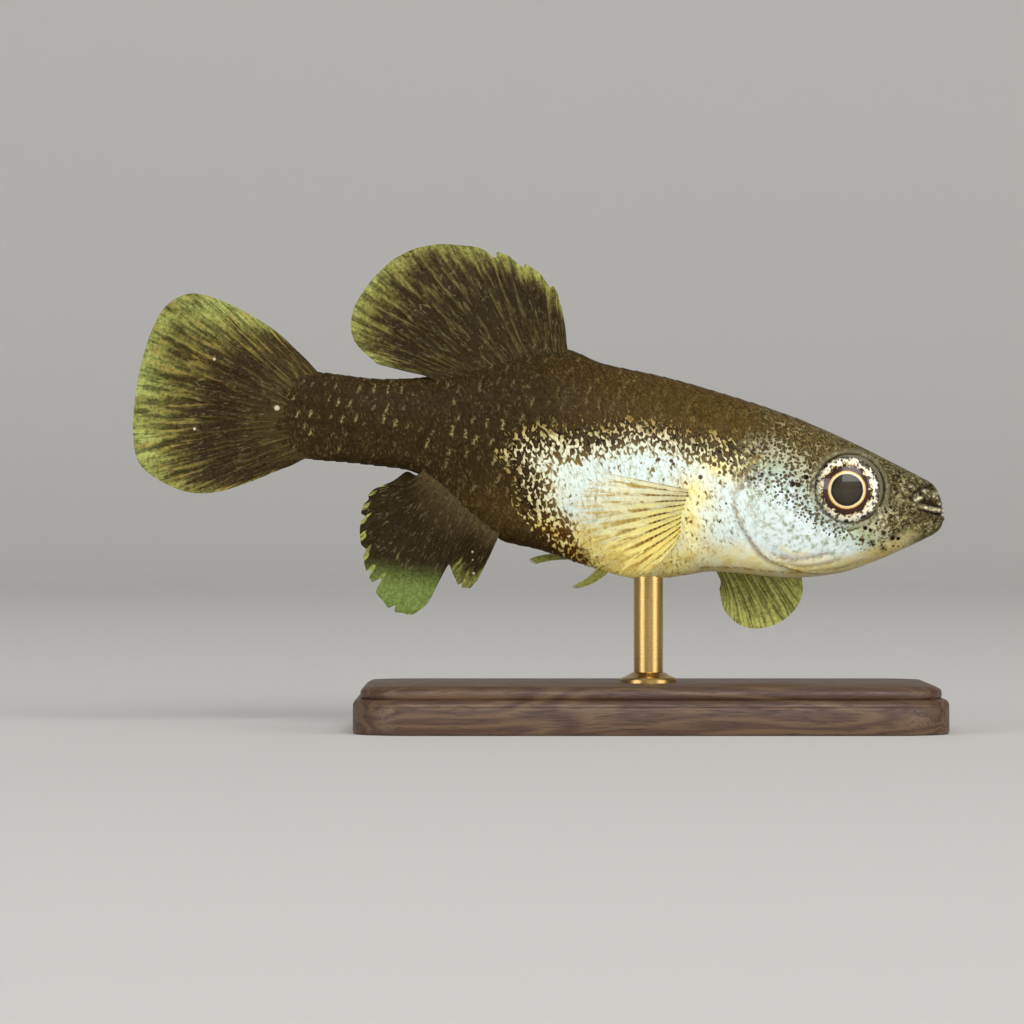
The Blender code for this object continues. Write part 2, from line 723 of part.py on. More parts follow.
def build():
    clear_scene()
    olive = make_material("dark_olive_skin", (0.060, 0.046, 0.018), 0.45)
    silver = make_material("silver_skin", (0.62, 0.64, 0.55), 0.30, 0.2)
    web = make_material("olive_fin_web", (0.19, 0.20, 0.055), 0.45)
    gold_web = make_material("gold_fin_web", (0.70, 0.50, 0.16), 0.40)
    iris = make_material("gold_and_black_iris", (0.30, 0.24, 0.12), 0.15)
    walnut = make_material("oiled_walnut", (0.10, 0.045, 0.020), 0.45)
    brass = make_material("satin_brass", (0.60, 0.42, 0.16), 0.30, 1.0)

    head = whole_head()
    jaw = link("lower_jaw", head.data.copy())
    jaw_block = prism("jaw_block", JAW_OUTLINE, 3.0)
    jaw_room = prism("jaw_room", grow(JAW_OUTLINE, GAP), 3.3)
    cut(jaw, [jaw_block], "INTERSECT")
    sockets = [eye_ball(f"socket_{side}", side, GAP) for side in (1, -1)]
    pits = [
        ellipsoid(f"pit_{side}_{s}", side_point(s, z, side, 0.05), (radius, radius, radius), 10, 6)
        for side in (1, -1)
        for s, z, radius in NOSTRILS
    ]
    grooves = [
        tube(f"groove_{side}", [side_point(*spot, side, 0.03) for spot in LIP_GROOVE], GROOVE_TUBE)
        for side in (1, -1)
    ]
    pockets = [
        gill_plate(f"pocket_{side}", side, GILL_PROUD - GILL_THICK - GAP, 0.7, GAP)
        for side in (1, -1)
    ]
    cut(head, [jaw_room, *sockets, *pits, *grooves, *pockets])

    trunk = body_length(
        "trunk", seam(HEAD_SEAM + GAP, HEAD_SEAM_BOW), seam(STALK_SEAM, STALK_SEAM_BOW),
        TRUNK_RINGS, 1.0,
    )
    cut(trunk, pockets)
    stalk = body_length(
        "tail_stalk", seam(STALK_SEAM + GAP, STALK_SEAM_BOW), seam(STALK_END, STALK_END_BOW),
        STALK_RINGS, 1.0,
    )
    for helper in (jaw_block, jaw_room, *sockets, *pits, *grooves, *pockets):
        bpy.data.objects.remove(helper)

    covers = [
        gill_plate(f"gill_cover_{word}", side, GILL_PROUD - GILL_THICK, GILL_PROUD)
        for word, side in (("left", 1), ("right", -1))
    ]
    for cover, side in zip(covers, (1, -1)):
        ridge = [side_point(*spot, side, GILL_PROUD - 0.05) for spot in CHEEK_RIDGE]
        join(cover, [tube(f"ridge_{side}", ridge, RIDGE_TUBE)])
    eyes = [eye_ball(f"eye_{word}", side) for word, side in (("left", 1), ("right", -1))]
    olive_fins = [
        fin(
            "dorsal_fin",
            median_ray(DORSAL_KEYS, BACK, MEDIAN_ROOT_GAP,
                       lambda share: 0.5 * math.sin(1.3 * math.pi * share)),
            DORSAL_RAYS, 8, lambda share: 0.01 + 0.12 * max(0.0, 1 - 3 * share),
        ),
        fin(
            "anal_fin",
            median_ray(ANAL_KEYS, BELLY, -MEDIAN_ROOT_GAP, lambda share: -0.35 * share),
            ANAL_RAYS, 7, lambda share: 0.05,
        ),
        fin("caudal_fin", caudal_ray, CAUDAL_RAYS, 8, lambda share: 0.01),
        pectoral("pectoral_fin_left", 1, LEFT_PECTORAL_TIPS, LEFT_PECTORAL_FORWARD),
        pelvic("pelvic_fin_left", 1, LEFT_PELVIC_TIPS),
        pelvic("pelvic_fin_right", -1, RIGHT_PELVIC_TIPS),
    ]
    gold_fin = pectoral("pectoral_fin_right", -1, RIGHT_PECTORAL_TIPS)

    for obj in (head, jaw, trunk, stalk):
        finish(obj, olive)
    for obj in covers:
        finish(obj, silver)
    for obj in eyes:
        finish(obj, iris)
    for obj in olive_fins:
        finish(obj, web)
    finish(gold_fin, gold_web)
    finish_stand(stand_base(), walnut)
    finish_stand(stand_rod(), brass)


build()
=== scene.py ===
import math
from functools import partial

import bmesh
import bpy
import numpy as np
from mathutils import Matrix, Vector


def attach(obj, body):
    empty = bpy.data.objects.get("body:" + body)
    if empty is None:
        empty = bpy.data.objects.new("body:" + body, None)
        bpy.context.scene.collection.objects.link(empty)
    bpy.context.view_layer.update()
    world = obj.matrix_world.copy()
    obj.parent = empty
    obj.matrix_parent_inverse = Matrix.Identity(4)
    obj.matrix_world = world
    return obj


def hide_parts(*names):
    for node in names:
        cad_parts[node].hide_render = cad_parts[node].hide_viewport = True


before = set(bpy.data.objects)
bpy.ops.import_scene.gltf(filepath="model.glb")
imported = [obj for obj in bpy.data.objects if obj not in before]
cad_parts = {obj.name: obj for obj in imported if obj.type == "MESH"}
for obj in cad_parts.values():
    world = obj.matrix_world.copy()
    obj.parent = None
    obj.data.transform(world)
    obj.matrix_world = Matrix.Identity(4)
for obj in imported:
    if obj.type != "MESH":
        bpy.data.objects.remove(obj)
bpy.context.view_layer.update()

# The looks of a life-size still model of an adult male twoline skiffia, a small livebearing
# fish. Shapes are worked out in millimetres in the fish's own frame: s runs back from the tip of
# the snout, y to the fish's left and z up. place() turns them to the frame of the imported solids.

MM = 0.001
PITCH = 8.0  # degrees that the head is lower than the tail
SNOUT_X, SNOUT_HEIGHT = 15.2, 11.2
PITCH_COS, PITCH_SIN = math.cos(math.radians(PITCH)), math.sin(math.radians(PITCH))
SEED = 11

# The body: distance behind the snout, back, belly, half width, level of the greatest width
STATIONS = (
    (0.00, -0.42, -0.42, 0.00, -0.42),
    (0.10, 0.14, -0.95, 0.50, -0.40),
    (0.30, 0.64, -1.20, 0.80, -0.36),
    (0.80, 1.30, -1.57, 1.20, -0.25),
    (1.60, 1.62, -2.10, 1.58, -0.15),
    (3.00, 2.11, -2.96, 2.00, -0.05),
    (5.10, 2.82, -4.00, 2.40, 0.00),
    (7.70, 3.55, -4.55, 2.65, -0.20),
    (11.0, 4.20, -4.72, 2.75, -0.40),
    (15.4, 4.82, -5.64, 2.68, -0.60),
    (18.5, 5.05, -5.22, 2.42, -0.40),
    (20.3, 5.50, -4.86, 2.15, -0.10),
    (22.0, 5.15, -4.72, 1.85, 0.10),
    (24.0, 4.45, -3.75, 1.50, 0.30),
    (26.0, 3.60, -2.40, 1.22, 0.45),
    (27.6, 3.02, -1.74, 1.06, 0.50),
    (30.5, 2.62, -1.80, 0.88, 0.45),
    (32.6, 2.60, -1.90, 0.74, 0.40),
    (35.2, 2.45, -1.80, 0.46, 0.40),
)
HEAD_FULLNESS, TRUNK_FULLNESS, FULLNESS_CHANGES = 0.84, 0.96, (3.0, 12.0)

# The skin's mesh, its end over the root of the tail fin, and how deep it lies in the solids
SKIN_ROWS, SKIN_SIDES, SKIN_DEPTH = 300, 324, 0.03
SKIN_END, SKIN_END_BOW = 33.2, 2.0
TAIL_TAPER, TAIL_EDGE = (30.5, 34.8), 0.16

# Eyes
EYE_S, EYE_Z, EYE_RADIUS, EYE_DEPTH, EYE_OUT = 5.13, 0.42, 1.74, 0.80, 1.97
PUPIL, INNER_RING, DARK_BAND, OUTER_RING = 0.80, 0.98, 1.24, 1.62

# Creases and folds of the head: the line as distance behind the snout and height, its half
# width, its height over the skin, and the tint along it with its strength. The dark tint along
# the sunk lines (the mouth's cleft, under the upper lip, round the jaws, by the eye) is painted
# shade, the seam tint in the sunk throat folds is partly painted shade, and the two throat
# gleams are painted highlights.
HEAD_FOLDS = {
    "mouth": (((0.02, -0.20), (0.5, -0.22), (1.0, -0.18), (1.44, -0.10)), 0.060, -0.17, "stain", 1.0),
    "upper_lip": (((0.03, 0.00), (0.5, -0.02), (1.0, 0.01), (1.50, 0.06)), 0.075, 0.05, "pale", 1.0),
    "lip_shadow": (((0.10, 0.22), (0.6, 0.20), (1.1, 0.24), (1.60, 0.30)), 0.110, -0.05, "stain", 1.0),
    "lower_lip": (((0.02, -0.42), (0.5, -0.46), (1.0, -0.42), (1.5, -0.30)), 0.12, 0.06, "stain", 0.2),
    "premaxilla": (((0.95, 1.20), (1.45, 0.98), (1.80, 0.66), (1.75, 0.34)), 0.09, -0.10, "stain", 0.9),
    "upper_jaw": (((0.45, 0.66), (0.75, 0.95), (1.20, 0.92), (1.50, 0.70)), 0.10, -0.04, "stain", 0.7),
    "jaw_corner": (((1.50, -0.10), (1.80, -0.75), (2.40, -1.60)), 0.13, -0.06, "stain", 0.4),
    "cheek_ridge": (((7.9, 1.0), (7.75, 0.1), (7.7, -1.2), (7.9, -2.0)), 0.10, 0.05, "seam", 0.2),
    "opercle_seam": (((10.2, -1.0), (9.9, -1.4), (9.2, -1.95), (8.2, -2.36)), 0.08, -0.04, "seam", 0.5),
    "eye_crease": (((7.3, -0.35), (6.9, -1.1), (6.1, -1.75), (5.2, -1.95)), 0.08, -0.05, "stain", 0.25),
    "throat_fold_1": (((8.6, -3.45), (7.4, -3.55), (6.3, -3.25), (5.6, -2.9)), 0.12, -0.04, "seam", 0.75),
    "throat_fold_2": (((8.2, -3.8), (7.0, -3.85), (5.8, -3.6), (4.9, -3.2)), 0.11, -0.035, "seam", 0.4),
    "throat_fold_3": (((7.2, -4.1), (6.0, -3.95), (4.8, -3.65), (3.6, -3.0)), 0.11, -0.035, "seam", 0.4),
    "throat_gleam_1": (((8.1, -3.0), (7.3, -3.25), (6.5, -2.95)), 0.16, 0.03, "pale", 0.9),
    "throat_gleam_2": (((7.1, -3.62), (6.2, -3.5), (5.4, -3.15)), 0.13, 0.03, "pale", 0.9),
}
GILL_MARGIN = (
    (8.9, 1.85), (10.0, 1.45), (10.45, 0.65), (10.88, -0.5), (10.62, -1.75), (9.7, -2.95),
    (8.8, -3.67), (7.5, -4.02), (6.1, -4.1), (4.8, -3.8),
)
GILL_FRONT = ((3.5, -2.6), (5.5, -0.5), (7.2, 1.6))  # closes the margin to an outline
NOSTRILS = ((2.05, 1.01, 0.13), (2.83, 1.36, 0.11))  # distance behind the snout, height, radius
# Marks on the lips, the snout and the cheek: distance behind the snout, height, radius
PALE_MARKS = (
    (1.54, 0.44, 0.13), (1.68, 0.36, 0.09), (1.42, 0.50, 0.08), (1.21, 0.87, 0.11), (1.05, 0.93, 0.08),
    (0.60, 0.82, 0.12), (0.50, 0.62, 0.07), (0.75, 0.66, 0.06), (0.95, 0.62, 0.06), (0.33, 0.32, 0.07),
    (2.00, 1.03, 0.10), (3.55, -0.35, 0.14), (3.35, -0.75, 0.12), (3.15, -1.15, 0.10),
)
DARK_MARKS = (
    (1.18, 0.36, 0.26), (0.88, 0.34, 0.16), (1.45, 0.76, 0.13), (0.85, 1.02, 0.10), (0.42, 0.98, 0.12),
    (1.88, 0.44, 0.12), (2.55, -1.70, 0.17), (3.05, -1.62, 0.14), (2.95, -2.35, 0.16), (3.6, -2.15, 0.15),
)
PECTORAL_BASE = ((12.95, -1.0), (13.05, -2.0), (13.0, -3.0), (12.8, -3.9))
PEARLY = ((9.0, -0.9), (8.0, -1.7), (6.2, -2.6))  # the line of the pearly gloss on the cheek

# The silver side, as an outline in distance behind the snout and height
SILVER = (
    (22.3, 0.0), (21.0, 0.65), (19.6, 0.80), (18.0, 1.10), (16.5, 1.75), (15.0, 1.75), (13.2, 1.55),
    (11.8, 1.45), (10.7, 1.15), (9.2, 0.80), (8.0, 0.05), (7.0, -0.85), (6.0, -1.30), (4.9, -1.50),
    (3.9, -1.70), (3.2, -2.3), (3.4, -3.2), (4.5, -7.0), (17.4, -7.0),
    (18.1, -5.2), (18.9, -4.4), (19.7, -3.7), (20.7, -3.0), (21.3, -1.5),
)
# Where dark spots are strewn: distance behind the snout, height, half length, half height, share
SPOTTED = (
    (3.4, -1.75, 1.9, 0.75, 0.95), (11.4, -1.6, 1.2, 2.2, 0.45), (11.8, 0.75, 1.4, 0.8, 0.85),
    (7.6, 0.4, 1.6, 1.1, 0.85), (9.4, 0.3, 1.5, 0.7, 0.7), (4.0, -0.6, 1.0, 1.0, 0.5),
    (12.75, 0.0, 0.35, 0.5, 0.8), (14.6, 0.5, 1.1, 0.5, 0.8),
    (19.7, -1.6, 0.8, 0.9, 0.55),
)

# Scales, in millimetres
SCALE_STEP, SCALE_ROW, SCALE_LENGTH, SCALE_WIDTH = 0.72, 0.82, 1.24, 1.12
SCALE_THICK, SCALE_TILT, SCALE_AROUND = 0.035, 0.06, 16
SCALES_START = ((7.3, 5.0), (7.6, 2.6), (9.2, 2.1), (11.1, 1.3), (11.7, -0.6), (12.0, -1.2),
                (13.9, -1.4), (14.1, -3.6), (12.6, -4.2), (12.0, -5.2))
SCALES_FIRST, SCALES_END, SCALE_ROWS = 6.5, 34.3, 14  # rows above and below the middle line
BAKE_PATCH = 0.003  # a scale's patch on the map that the export bakes through

# Fins: half thickness of the web, height of a ray over it, and how deep a root goes into the body
WEB_HALF, RAY_HEIGHT, ROOT_DEPTH = 0.045, 0.038, 0.95
ROOT_FLARE, ROOT_REACH = 0.55, 1.25
RAY_STEPS, ROOT_ROWS = 16, 6
FORK, FORK_AGAIN = 0.42, 0.72  # how far along it a ray forks, as shares
DORSAL_KEYS = (
    (20.3, 20.95, 7.75), (20.8, 21.45, 8.60), (21.4, 22.95, 9.55), (22.0, 24.5, 10.0),
    (22.7, 26.3, 10.1), (23.4, 28.1, 9.85), (24.2, 29.7, 8.95), (25.0, 30.9, 7.40),
    (25.7, 31.5, 5.80), (26.4, 31.2, 4.45), (27.2, 29.8, 3.42),
)
ANAL_KEYS = (
    (22.50, 23.10, -6.50), (22.75, 23.45, -7.25), (23.00, 24.10, -7.30), (23.25, 24.50, -6.75),
    (23.55, 24.90, -6.25), (23.90, 25.20, -7.25), (24.30, 25.60, -8.35), (24.70, 26.30, -9.05),
    (25.10, 27.40, -9.00), (25.50, 28.30, -8.20), (25.85, 29.00, -7.05), (26.20, 29.50, -5.50),
    (26.50, 29.62, -4.20), (26.75, 29.20, -3.00), (26.95, 27.90, -2.36),
)
CAUDAL_TIPS = (
    (33.9, 3.45), (35.3, 4.38), (36.9, 5.08), (38.5, 5.58), (39.9, 5.68), (41.0, 4.95),
    (41.6, 3.55), (41.9, 1.60), (41.93, -0.30), (41.76, -1.90), (41.3, -3.25), (40.2, -4.02),
    (38.6, -4.45), (37.1, -4.22), (35.6, -3.45), (34.3, -2.60),
)
DORSAL_RAYS, ANAL_RAYS, CAUDAL_RAYS, PECTORAL_RAYS, PELVIC_RAYS = 14, 15, 19, 13, 6
STALK_END, STALK_END_BOW = 32.8, 1.8
PECTORAL_ROOT = ((13.15, -0.75), (13.35, -2.0), (13.25, -3.3))
RIGHT_PECTORAL_TIPS = (
    (17.9, 6.3, -0.50), (18.7, 6.7, -1.70), (19.0, 6.9, -3.00), (18.6, 6.8, -4.30),
    (17.6, 6.4, -5.20), (16.2, 5.7, -5.60), (15.0, 4.9, -5.50),
)
LEFT_PECTORAL_TIPS = (
    (6.70, 3.9, -4.10), (6.42, 4.1, -5.15), (6.70, 4.2, -6.15), (7.45, 4.3, -6.95),
    (8.50, 4.3, -7.38), (9.50, 4.2, -7.28), (10.35, 4.0, -6.62), (10.75, 3.8, -5.60),
)
PECTORAL_OUT, LEFT_PECTORAL_FORWARD = 1.3, 2.2
PELVIC_S, PELVIC_OUT, PELVIC_ROOT = 16.9, 0.62, 0.5
RIGHT_PELVIC_TIPS = ((18.15, 2.8, -6.50), (18.35, 3.0, -6.54), (18.45, 3.05, -6.44))
LEFT_PELVIC_TIPS = ((20.5, 1.35, -5.66), (20.7, 1.45, -5.58), (20.8, 1.55, -5.46))
# Nicks in a fin's edge: share of the fin where each starts, its width and its depth as shares
DORSAL_NICKS = ((0.105, 0.055, 0.07), (0.205, 0.07, 0.07), (0.305, 0.05, 0.075), (0.02, 0.05, 0.05))
ANAL_NICKS = ((0.045, 0.04, 0.09), (0.13, 0.03, 0.07), (0.645, 0.03, 0.11), (0.825, 0.03, 0.07),
              (0.74, 0.03, 0.04), (0.69, 0.02, 0.05), (0.88, 0.03, 0.05), (0.56, 0.025, 0.05))

# The stand
BASE_LENGTH, BASE_WIDTH, BASE_HEIGHT, BASE_CORNER = 30.0, 17.0, 2.4, 3.0
ROD_RADIUS, COLLAR_RADIUS, COLLAR_HEIGHT = 0.75, 1.45, 0.55

# The photograph's frame: 1024 pixels wide, with the snout at this pixel
PIXEL = 0.05124789  # millimetres
SNOUT_PIXEL = (945, 511)
IMAGE_PIXELS = 1024
LENS, SENSOR = 200.0, 36.0


def rgb(hex_colour):
    """An sRGB hex value as a linear colour."""
    parts = [int(hex_colour[i:i + 2], 16) / 255 for i in (1, 3, 5)]
    linear = [c / 12.92 if c <= 0.04045 else ((c + 0.055) / 1.055) ** 2.4 for c in parts]
    return (*linear, 1.0)


def smooth_curve(xs, ys):
    """A function through the given points with no overshoot between them (monotone cubic)."""
    xs, ys = np.asarray(xs, float), np.asarray(ys, float)
    steps = np.diff(xs)
    slopes = np.diff(ys) / steps
    before, after = slopes[:-1], slopes[1:]
    same_way = before * after > 0
    total = np.where(same_way, before + after, 1.0)
    inner = np.where(same_way, 2 * before * after / total, 0.0)
    tangents = np.concatenate([slopes[:1], inner, slopes[-1:]])

    def at(x):
        x = np.asarray(x, float)
        i = np.clip(np.searchsorted(xs, x) - 1, 0, len(steps) - 1)
        t = np.clip((x - xs[i]) / steps[i], 0, 1)
        rise = (1 - t) ** 2 * (1 + 2 * t) * ys[i] + t * t * (3 - 2 * t) * ys[i + 1]
        return rise + steps[i] * t * (1 - t) * ((1 - t) * tangents[i] - t * tangents[i + 1])

    return at


def spline(keys, share):
    """Points at shares 0 to 1 along a smooth curve through the keys (Catmull-Rom)."""
    keys = np.asarray(keys, float)
    share = np.asarray(share, float)
    where = share * (len(keys) - 1)
    k = np.minimum(where.astype(int), len(keys) - 2)
    t = (where - k)[..., None]
    last = len(keys) - 1
    a, b, c, d = (keys[np.clip(k + offset, 0, last)] for offset in (-1, 0, 1, 2))
    return 0.5 * (2 * b + (c - a) * t + (2 * a - 5 * b + 4 * c - d) * t**2
                  + (3 * b - a - 3 * c + d) * t**3)


def smoothstep(x, start, end):
    t = np.clip((np.asarray(x, float) - start) / (end - start), 0, 1)
    return t * t * (3 - 2 * t)


def hump(x, width=1.0):
    """One at 0, falling off smoothly to either side."""
    return np.exp(-((x / width) ** 2))


# Near the blunt snout the outline grows like a square root, so the curves run on the root of s
ROOTS = [math.sqrt(row[0]) for row in STATIONS]
BACK, BELLY, HALF_WIDTH, MIDDLE = (
    smooth_curve(ROOTS, [row[column] for row in STATIONS]) for column in range(1, 5)
)


def section(s):
    """Back, belly, half width, level of the greatest width and fullness at distance s."""
    root = np.sqrt(np.maximum(s, 0.0))
    share = np.clip((s - FULLNESS_CHANGES[0]) / (FULLNESS_CHANGES[1] - FULLNESS_CHANGES[0]), 0, 1)
    fullness = HEAD_FULLNESS + (TRUNK_FULLNESS - HEAD_FULLNESS) * share
    half_width = HALF_WIDTH(root)
    half_width = half_width + (TAIL_EDGE - half_width) * smoothstep(s, *TAIL_TAPER)
    return BACK(root), BELLY(root), half_width, MIDDLE(root), fullness


def body_point(s, angle):
    """The skin at distance s, where angle runs from the back round by the fish's left side."""
    s, angle = np.broadcast_arrays(np.asarray(s, float), np.asarray(angle, float))
    back, belly, half_width, middle, fullness = section(s)
    up, out = np.cos(angle), np.sin(angle)
    reach = np.where(up > 0, back - middle, middle - belly)
    z = middle + np.sign(up) * reach * np.abs(up) ** fullness
    y = np.sign(out) * half_width * np.abs(out) ** fullness
    return np.stack([s, y, z], axis=-1)


def blot(s, z, spot_s, spot_z, long, high):
    """One at a place, falling off smoothly over half the length and half the height round it."""
    return hump(np.hypot((s - spot_s) / long, (z - spot_z) / high))


def unit(vectors):
    return vectors / np.linalg.norm(vectors, axis=-1, keepdims=True)


def body_normal(s, angle):
    """The outward direction of the skin."""
    step_s, step_angle = 0.02, 0.01
    s = np.maximum(s, 0.03)
    along = body_point(s + step_s, angle) - body_point(s - step_s, angle)
    around = body_point(s, angle + step_angle) - body_point(s, angle - step_angle)
    return unit(np.cross(along, around))


def under_side(s, out, most=1.0):
    """The height of the belly's skin at distances s and this far out from the middle line."""
    _, belly, half_width, middle, fullness = section(s)
    share = np.minimum(out / half_width, most)
    return middle - (middle - belly) * np.sqrt(1 - share ** (2 / fullness)) ** fullness


def side_point(s, z, side, out):
    """The skin at distances s and heights z, on the left (side 1) or right (-1), moved out."""
    back, belly, _, middle, fullness = section(s)
    reach = np.where(z > middle, back - middle, middle - belly)
    share = np.clip(np.abs(z - middle) / np.maximum(reach, 1e-6), 0, 0.999)
    angle = np.arccos(np.sign(z - middle) * share ** (1 / fullness)) * side
    return body_point(s, angle) + body_normal(s, angle) * out


def place(points):
    """From the fish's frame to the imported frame, both in millimetres."""
    s, y, z = np.moveaxis(np.asarray(points, float), -1, 0)
    ahead = SNOUT_X - s * PITCH_COS + z * PITCH_SIN
    height = SNOUT_HEIGHT + s * PITCH_SIN + z * PITCH_COS
    return np.stack([ahead, y, height], axis=-1)


def line_distance(line, s, z, closed=False):
    """Distance from each place to a line of points, and how far along the line that is, 0 to 1."""
    line = np.asarray(line, float)
    ends = np.roll(line, -1, axis=0) if closed else line[1:]
    starts = line if closed else line[:-1]
    best = np.full(np.shape(s), np.inf)
    along = np.zeros(np.shape(s))
    for i, (a, b) in enumerate(zip(starts, ends)):
        run = b - a
        t = np.clip(((s - a[0]) * run[0] + (z - a[1]) * run[1]) / (run @ run), 0, 1)
        distance = np.hypot(s - a[0] - t * run[0], z - a[1] - t * run[1])
        nearer = distance < best
        best = np.where(nearer, distance, best)
        along = np.where(nearer, (i + t) / len(starts), along)
    return best, along


def depth_inside(outline, s, z):
    """Distance to an outline, positive inside it and negative outside."""
    outline = np.asarray(outline, float)
    inside = np.zeros(np.shape(s), bool)
    for a, b in zip(outline, np.roll(outline, -1, axis=0)):
        if a[1] == b[1]:
            continue
        crosses = (a[1] > z) != (b[1] > z)
        inside ^= crosses & (s < a[0] + (z - a[1]) * (b[0] - a[0]) / (b[1] - a[1]))
    distance, _ = line_distance(outline, s, z, closed=True)
    return np.where(inside, distance, -distance)


def zones(s, z):
    """The shares of each marking at a place on the body, as the skin and the scales share them."""
    above = z - BELLY(np.sqrt(np.maximum(s, 0)))
    soft = 2.0 - 0.85 * smoothstep(s, 9.0, 12.5) + 0.25 * smoothstep(s, 17.0, 20.5)
    soft = soft - 0.25 * smoothstep(-z, 2.2, 4.0)
    soft = soft - 0.8 * smoothstep(-z, 0.3, 1.2) * (1 - smoothstep(s, 8.0, 10.0))
    silver = np.clip(0.5 + 0.5 * depth_inside(SILVER, s, z) / soft, 0, 1)
    gold = (1 - smoothstep(above, 1.0, 2.6)) * smoothstep(s, 10.8, 13.0)
    for more in (
        0.9 * blot(s, z, 11.7, 0.75, 1.2, 0.8), 0.9 * hump(line_distance(PECTORAL_BASE, s, z)[0]),
        0.22 * blot(s, z, 19.9, -1.7, 1.2, 1.6),
    ):
        gold = np.maximum(gold, more)
    tan_height = 1.30 + 0.75 * smoothstep(s, 7.5, 10.0)
    tan = (1 - smoothstep(above, 0.35 * tan_height, tan_height)) * (1 - smoothstep(s, 10.5, 13.5))
    tan = np.maximum(tan * smoothstep(s, 0.8, 2.2), 0.25 * blot(s, z, 3.9, -1.8, 0.9, 0.9))
    spots = silver * (0.30 * smoothstep(z, -2.0, 1.0) + 0.3 * smoothstep(s, 18.5, 21.5))
    for *spot, share in SPOTTED:
        spots = np.maximum(spots, share * blot(s, z, *spot))
    return {
        "silver": silver, "gold": gold, "tan": tan, "spots": spots,
        "head": 1 - smoothstep(s, 8.5, 11.5), "snout": 1 - smoothstep(s, 2.0, 9.0),
        "pearl": 1 - smoothstep(line_distance(PEARLY, s, z)[0], 0.9, 2.2),
        # Above the anal fin the tail's darker brown is held back, so the lower side is lighter there: partly
        # its own colour, partly painted light on a side that faces down.
        "tail": smoothstep(s, 12.0, 24.0) - 0.6 * blot(s, z, 22.4, -3.2, 2.6, 1.4),
    }


def fold_line(points, count=40):
    return spline(points, np.linspace(0, 1, count))


def head_relief(s, z):
    """How far the skin stands out of the plain body at each place, and its tints."""
    out = np.zeros(s.shape)
    tints = {word: np.zeros(s.shape) for word in ("stain", "seam", "pale")}

    def tint(word, share):
        tints[word] = np.maximum(tints[word], share)

    for points, width, height, word, strength in HEAD_FOLDS.values():
        distance, along = line_distance(fold_line(points), s, z)
        fade = smoothstep(1 - along, -0.001, 0.15)
        out += height * hump(distance, width) * fade
        tint(word, strength * hump(distance, 1.1 * width) * fade)

    margin = fold_line(GILL_MARGIN, 60)
    distance, along = line_distance(margin, s, z)
    side = np.sign(depth_inside(np.vstack([margin, GILL_FRONT]), s, z))
    edge = smoothstep(along, 0.02, 0.12) * smoothstep(1 - along, 0.0, 0.2)
    out += edge * np.where(side > 0, 0.13 * np.exp(-distance / 1.2), -0.10 * hump(distance, 0.22))
    # A gold-brown line along the gill cover's edge, where the cover stands over the body, is partly painted
    # shade.
    tint("seam", 0.75 * edge * hump(distance - 0.04 * side, 0.11))

    for spot_s, spot_z, radius in NOSTRILS:
        away = np.hypot(s - spot_s, z - spot_z)
        out += -0.12 * hump(away, radius) + 0.05 * hump(away - 1.7 * radius, 0.07)
        # A dark ring at each nostril pit's edge is painted shade.
        tint("stain", 0.9 * hump(away - 1.1 * radius, 0.6 * radius))

    for word, marks in (("pale", PALE_MARKS), ("stain", DARK_MARKS)):
        for spot_s, spot_z, radius in marks:
            tint(word, hump(np.hypot(s - spot_s, 1.2 * (z - spot_z)), radius))

    distance, _ = line_distance(fold_line(PECTORAL_BASE), s, z)
    out += 0.14 * hump(distance, 0.45)

    above = z - BELLY(np.sqrt(np.maximum(s, 0)))
    # A thin gold-brown line is painted along the belly, just above its edge.
    tint("seam", 0.8 * hump(above - 0.26, 0.07) * smoothstep(s, 3.0, 5.0) * (1 - smoothstep(s, 15.0, 18.0)))

    away = np.hypot(s - EYE_S, z - EYE_Z)
    out += -0.75 * (1 - smoothstep(away, EYE_RADIUS - 0.12, EYE_RADIUS + 0.06))
    out += 0.09 * hump(away - 1.90, 0.10) - 0.04 * hump(away - 2.20, 0.12)
    # A thin dark line where the skin meets the eye is painted shade.
    tint("stain", 0.85 * hump(away - EYE_RADIUS - 0.02, 0.06))
    tints["rim"] = 0.45 * hump(away - 1.92, 0.13)
    return out, tints


def signed_volume(points, faces):
    faces = np.asarray(faces)
    a, b, c, d = (points[faces[:, i]] for i in range(4))
    return (np.einsum("ij,ij->i", a, np.cross(b, c)) + np.einsum("ij,ij->i", a, np.cross(c, d))).sum()


def link(name, data):
    """A new object of this data, in the scene."""
    obj = bpy.data.objects.new(name, data)
    bpy.context.scene.collection.objects.link(obj)
    return obj


def ring_faces(rows, sides):
    """The faces that join each closed ring of points to the next."""
    i, j = np.meshgrid(np.arange(rows - 1), np.arange(sides), indexing="ij")
    k = (j + 1) % sides
    faces = np.stack([i * sides + j, i * sides + k, (i + 1) * sides + k, (i + 1) * sides + j], axis=-1)
    return faces.reshape(-1, 4)


def solid(name, points, quads, extra=(), placed=False, sharp=70.0):
    """A closed mesh piece from points in millimetres, with its faces turned outwards. Edges
    sharper than this many degrees stay sharp."""
    points = np.asarray(points, float) if placed else place(points)
    mesh = bpy.data.meshes.new(name)
    mesh.from_pydata((points * MM).tolist(), [], quads.tolist() + list(extra))
    if signed_volume(points, quads) < 0:
        mesh.flip_normals()
    mesh.update()
    mesh.shade_smooth()
    mesh.set_sharp_from_angle(angle=math.radians(sharp))
    return link(name, mesh)


def mark(obj, name, values):
    """Stores a number or a vector for each of the piece's points, for its material to read."""
    kind, field = ("FLOAT_VECTOR", "vector") if np.ndim(values) == 2 else ("FLOAT", "value")
    layer = obj.data.attributes.new(name, kind, "POINT")
    layer.data.foreach_set(field, np.asarray(values, np.float32).ravel())


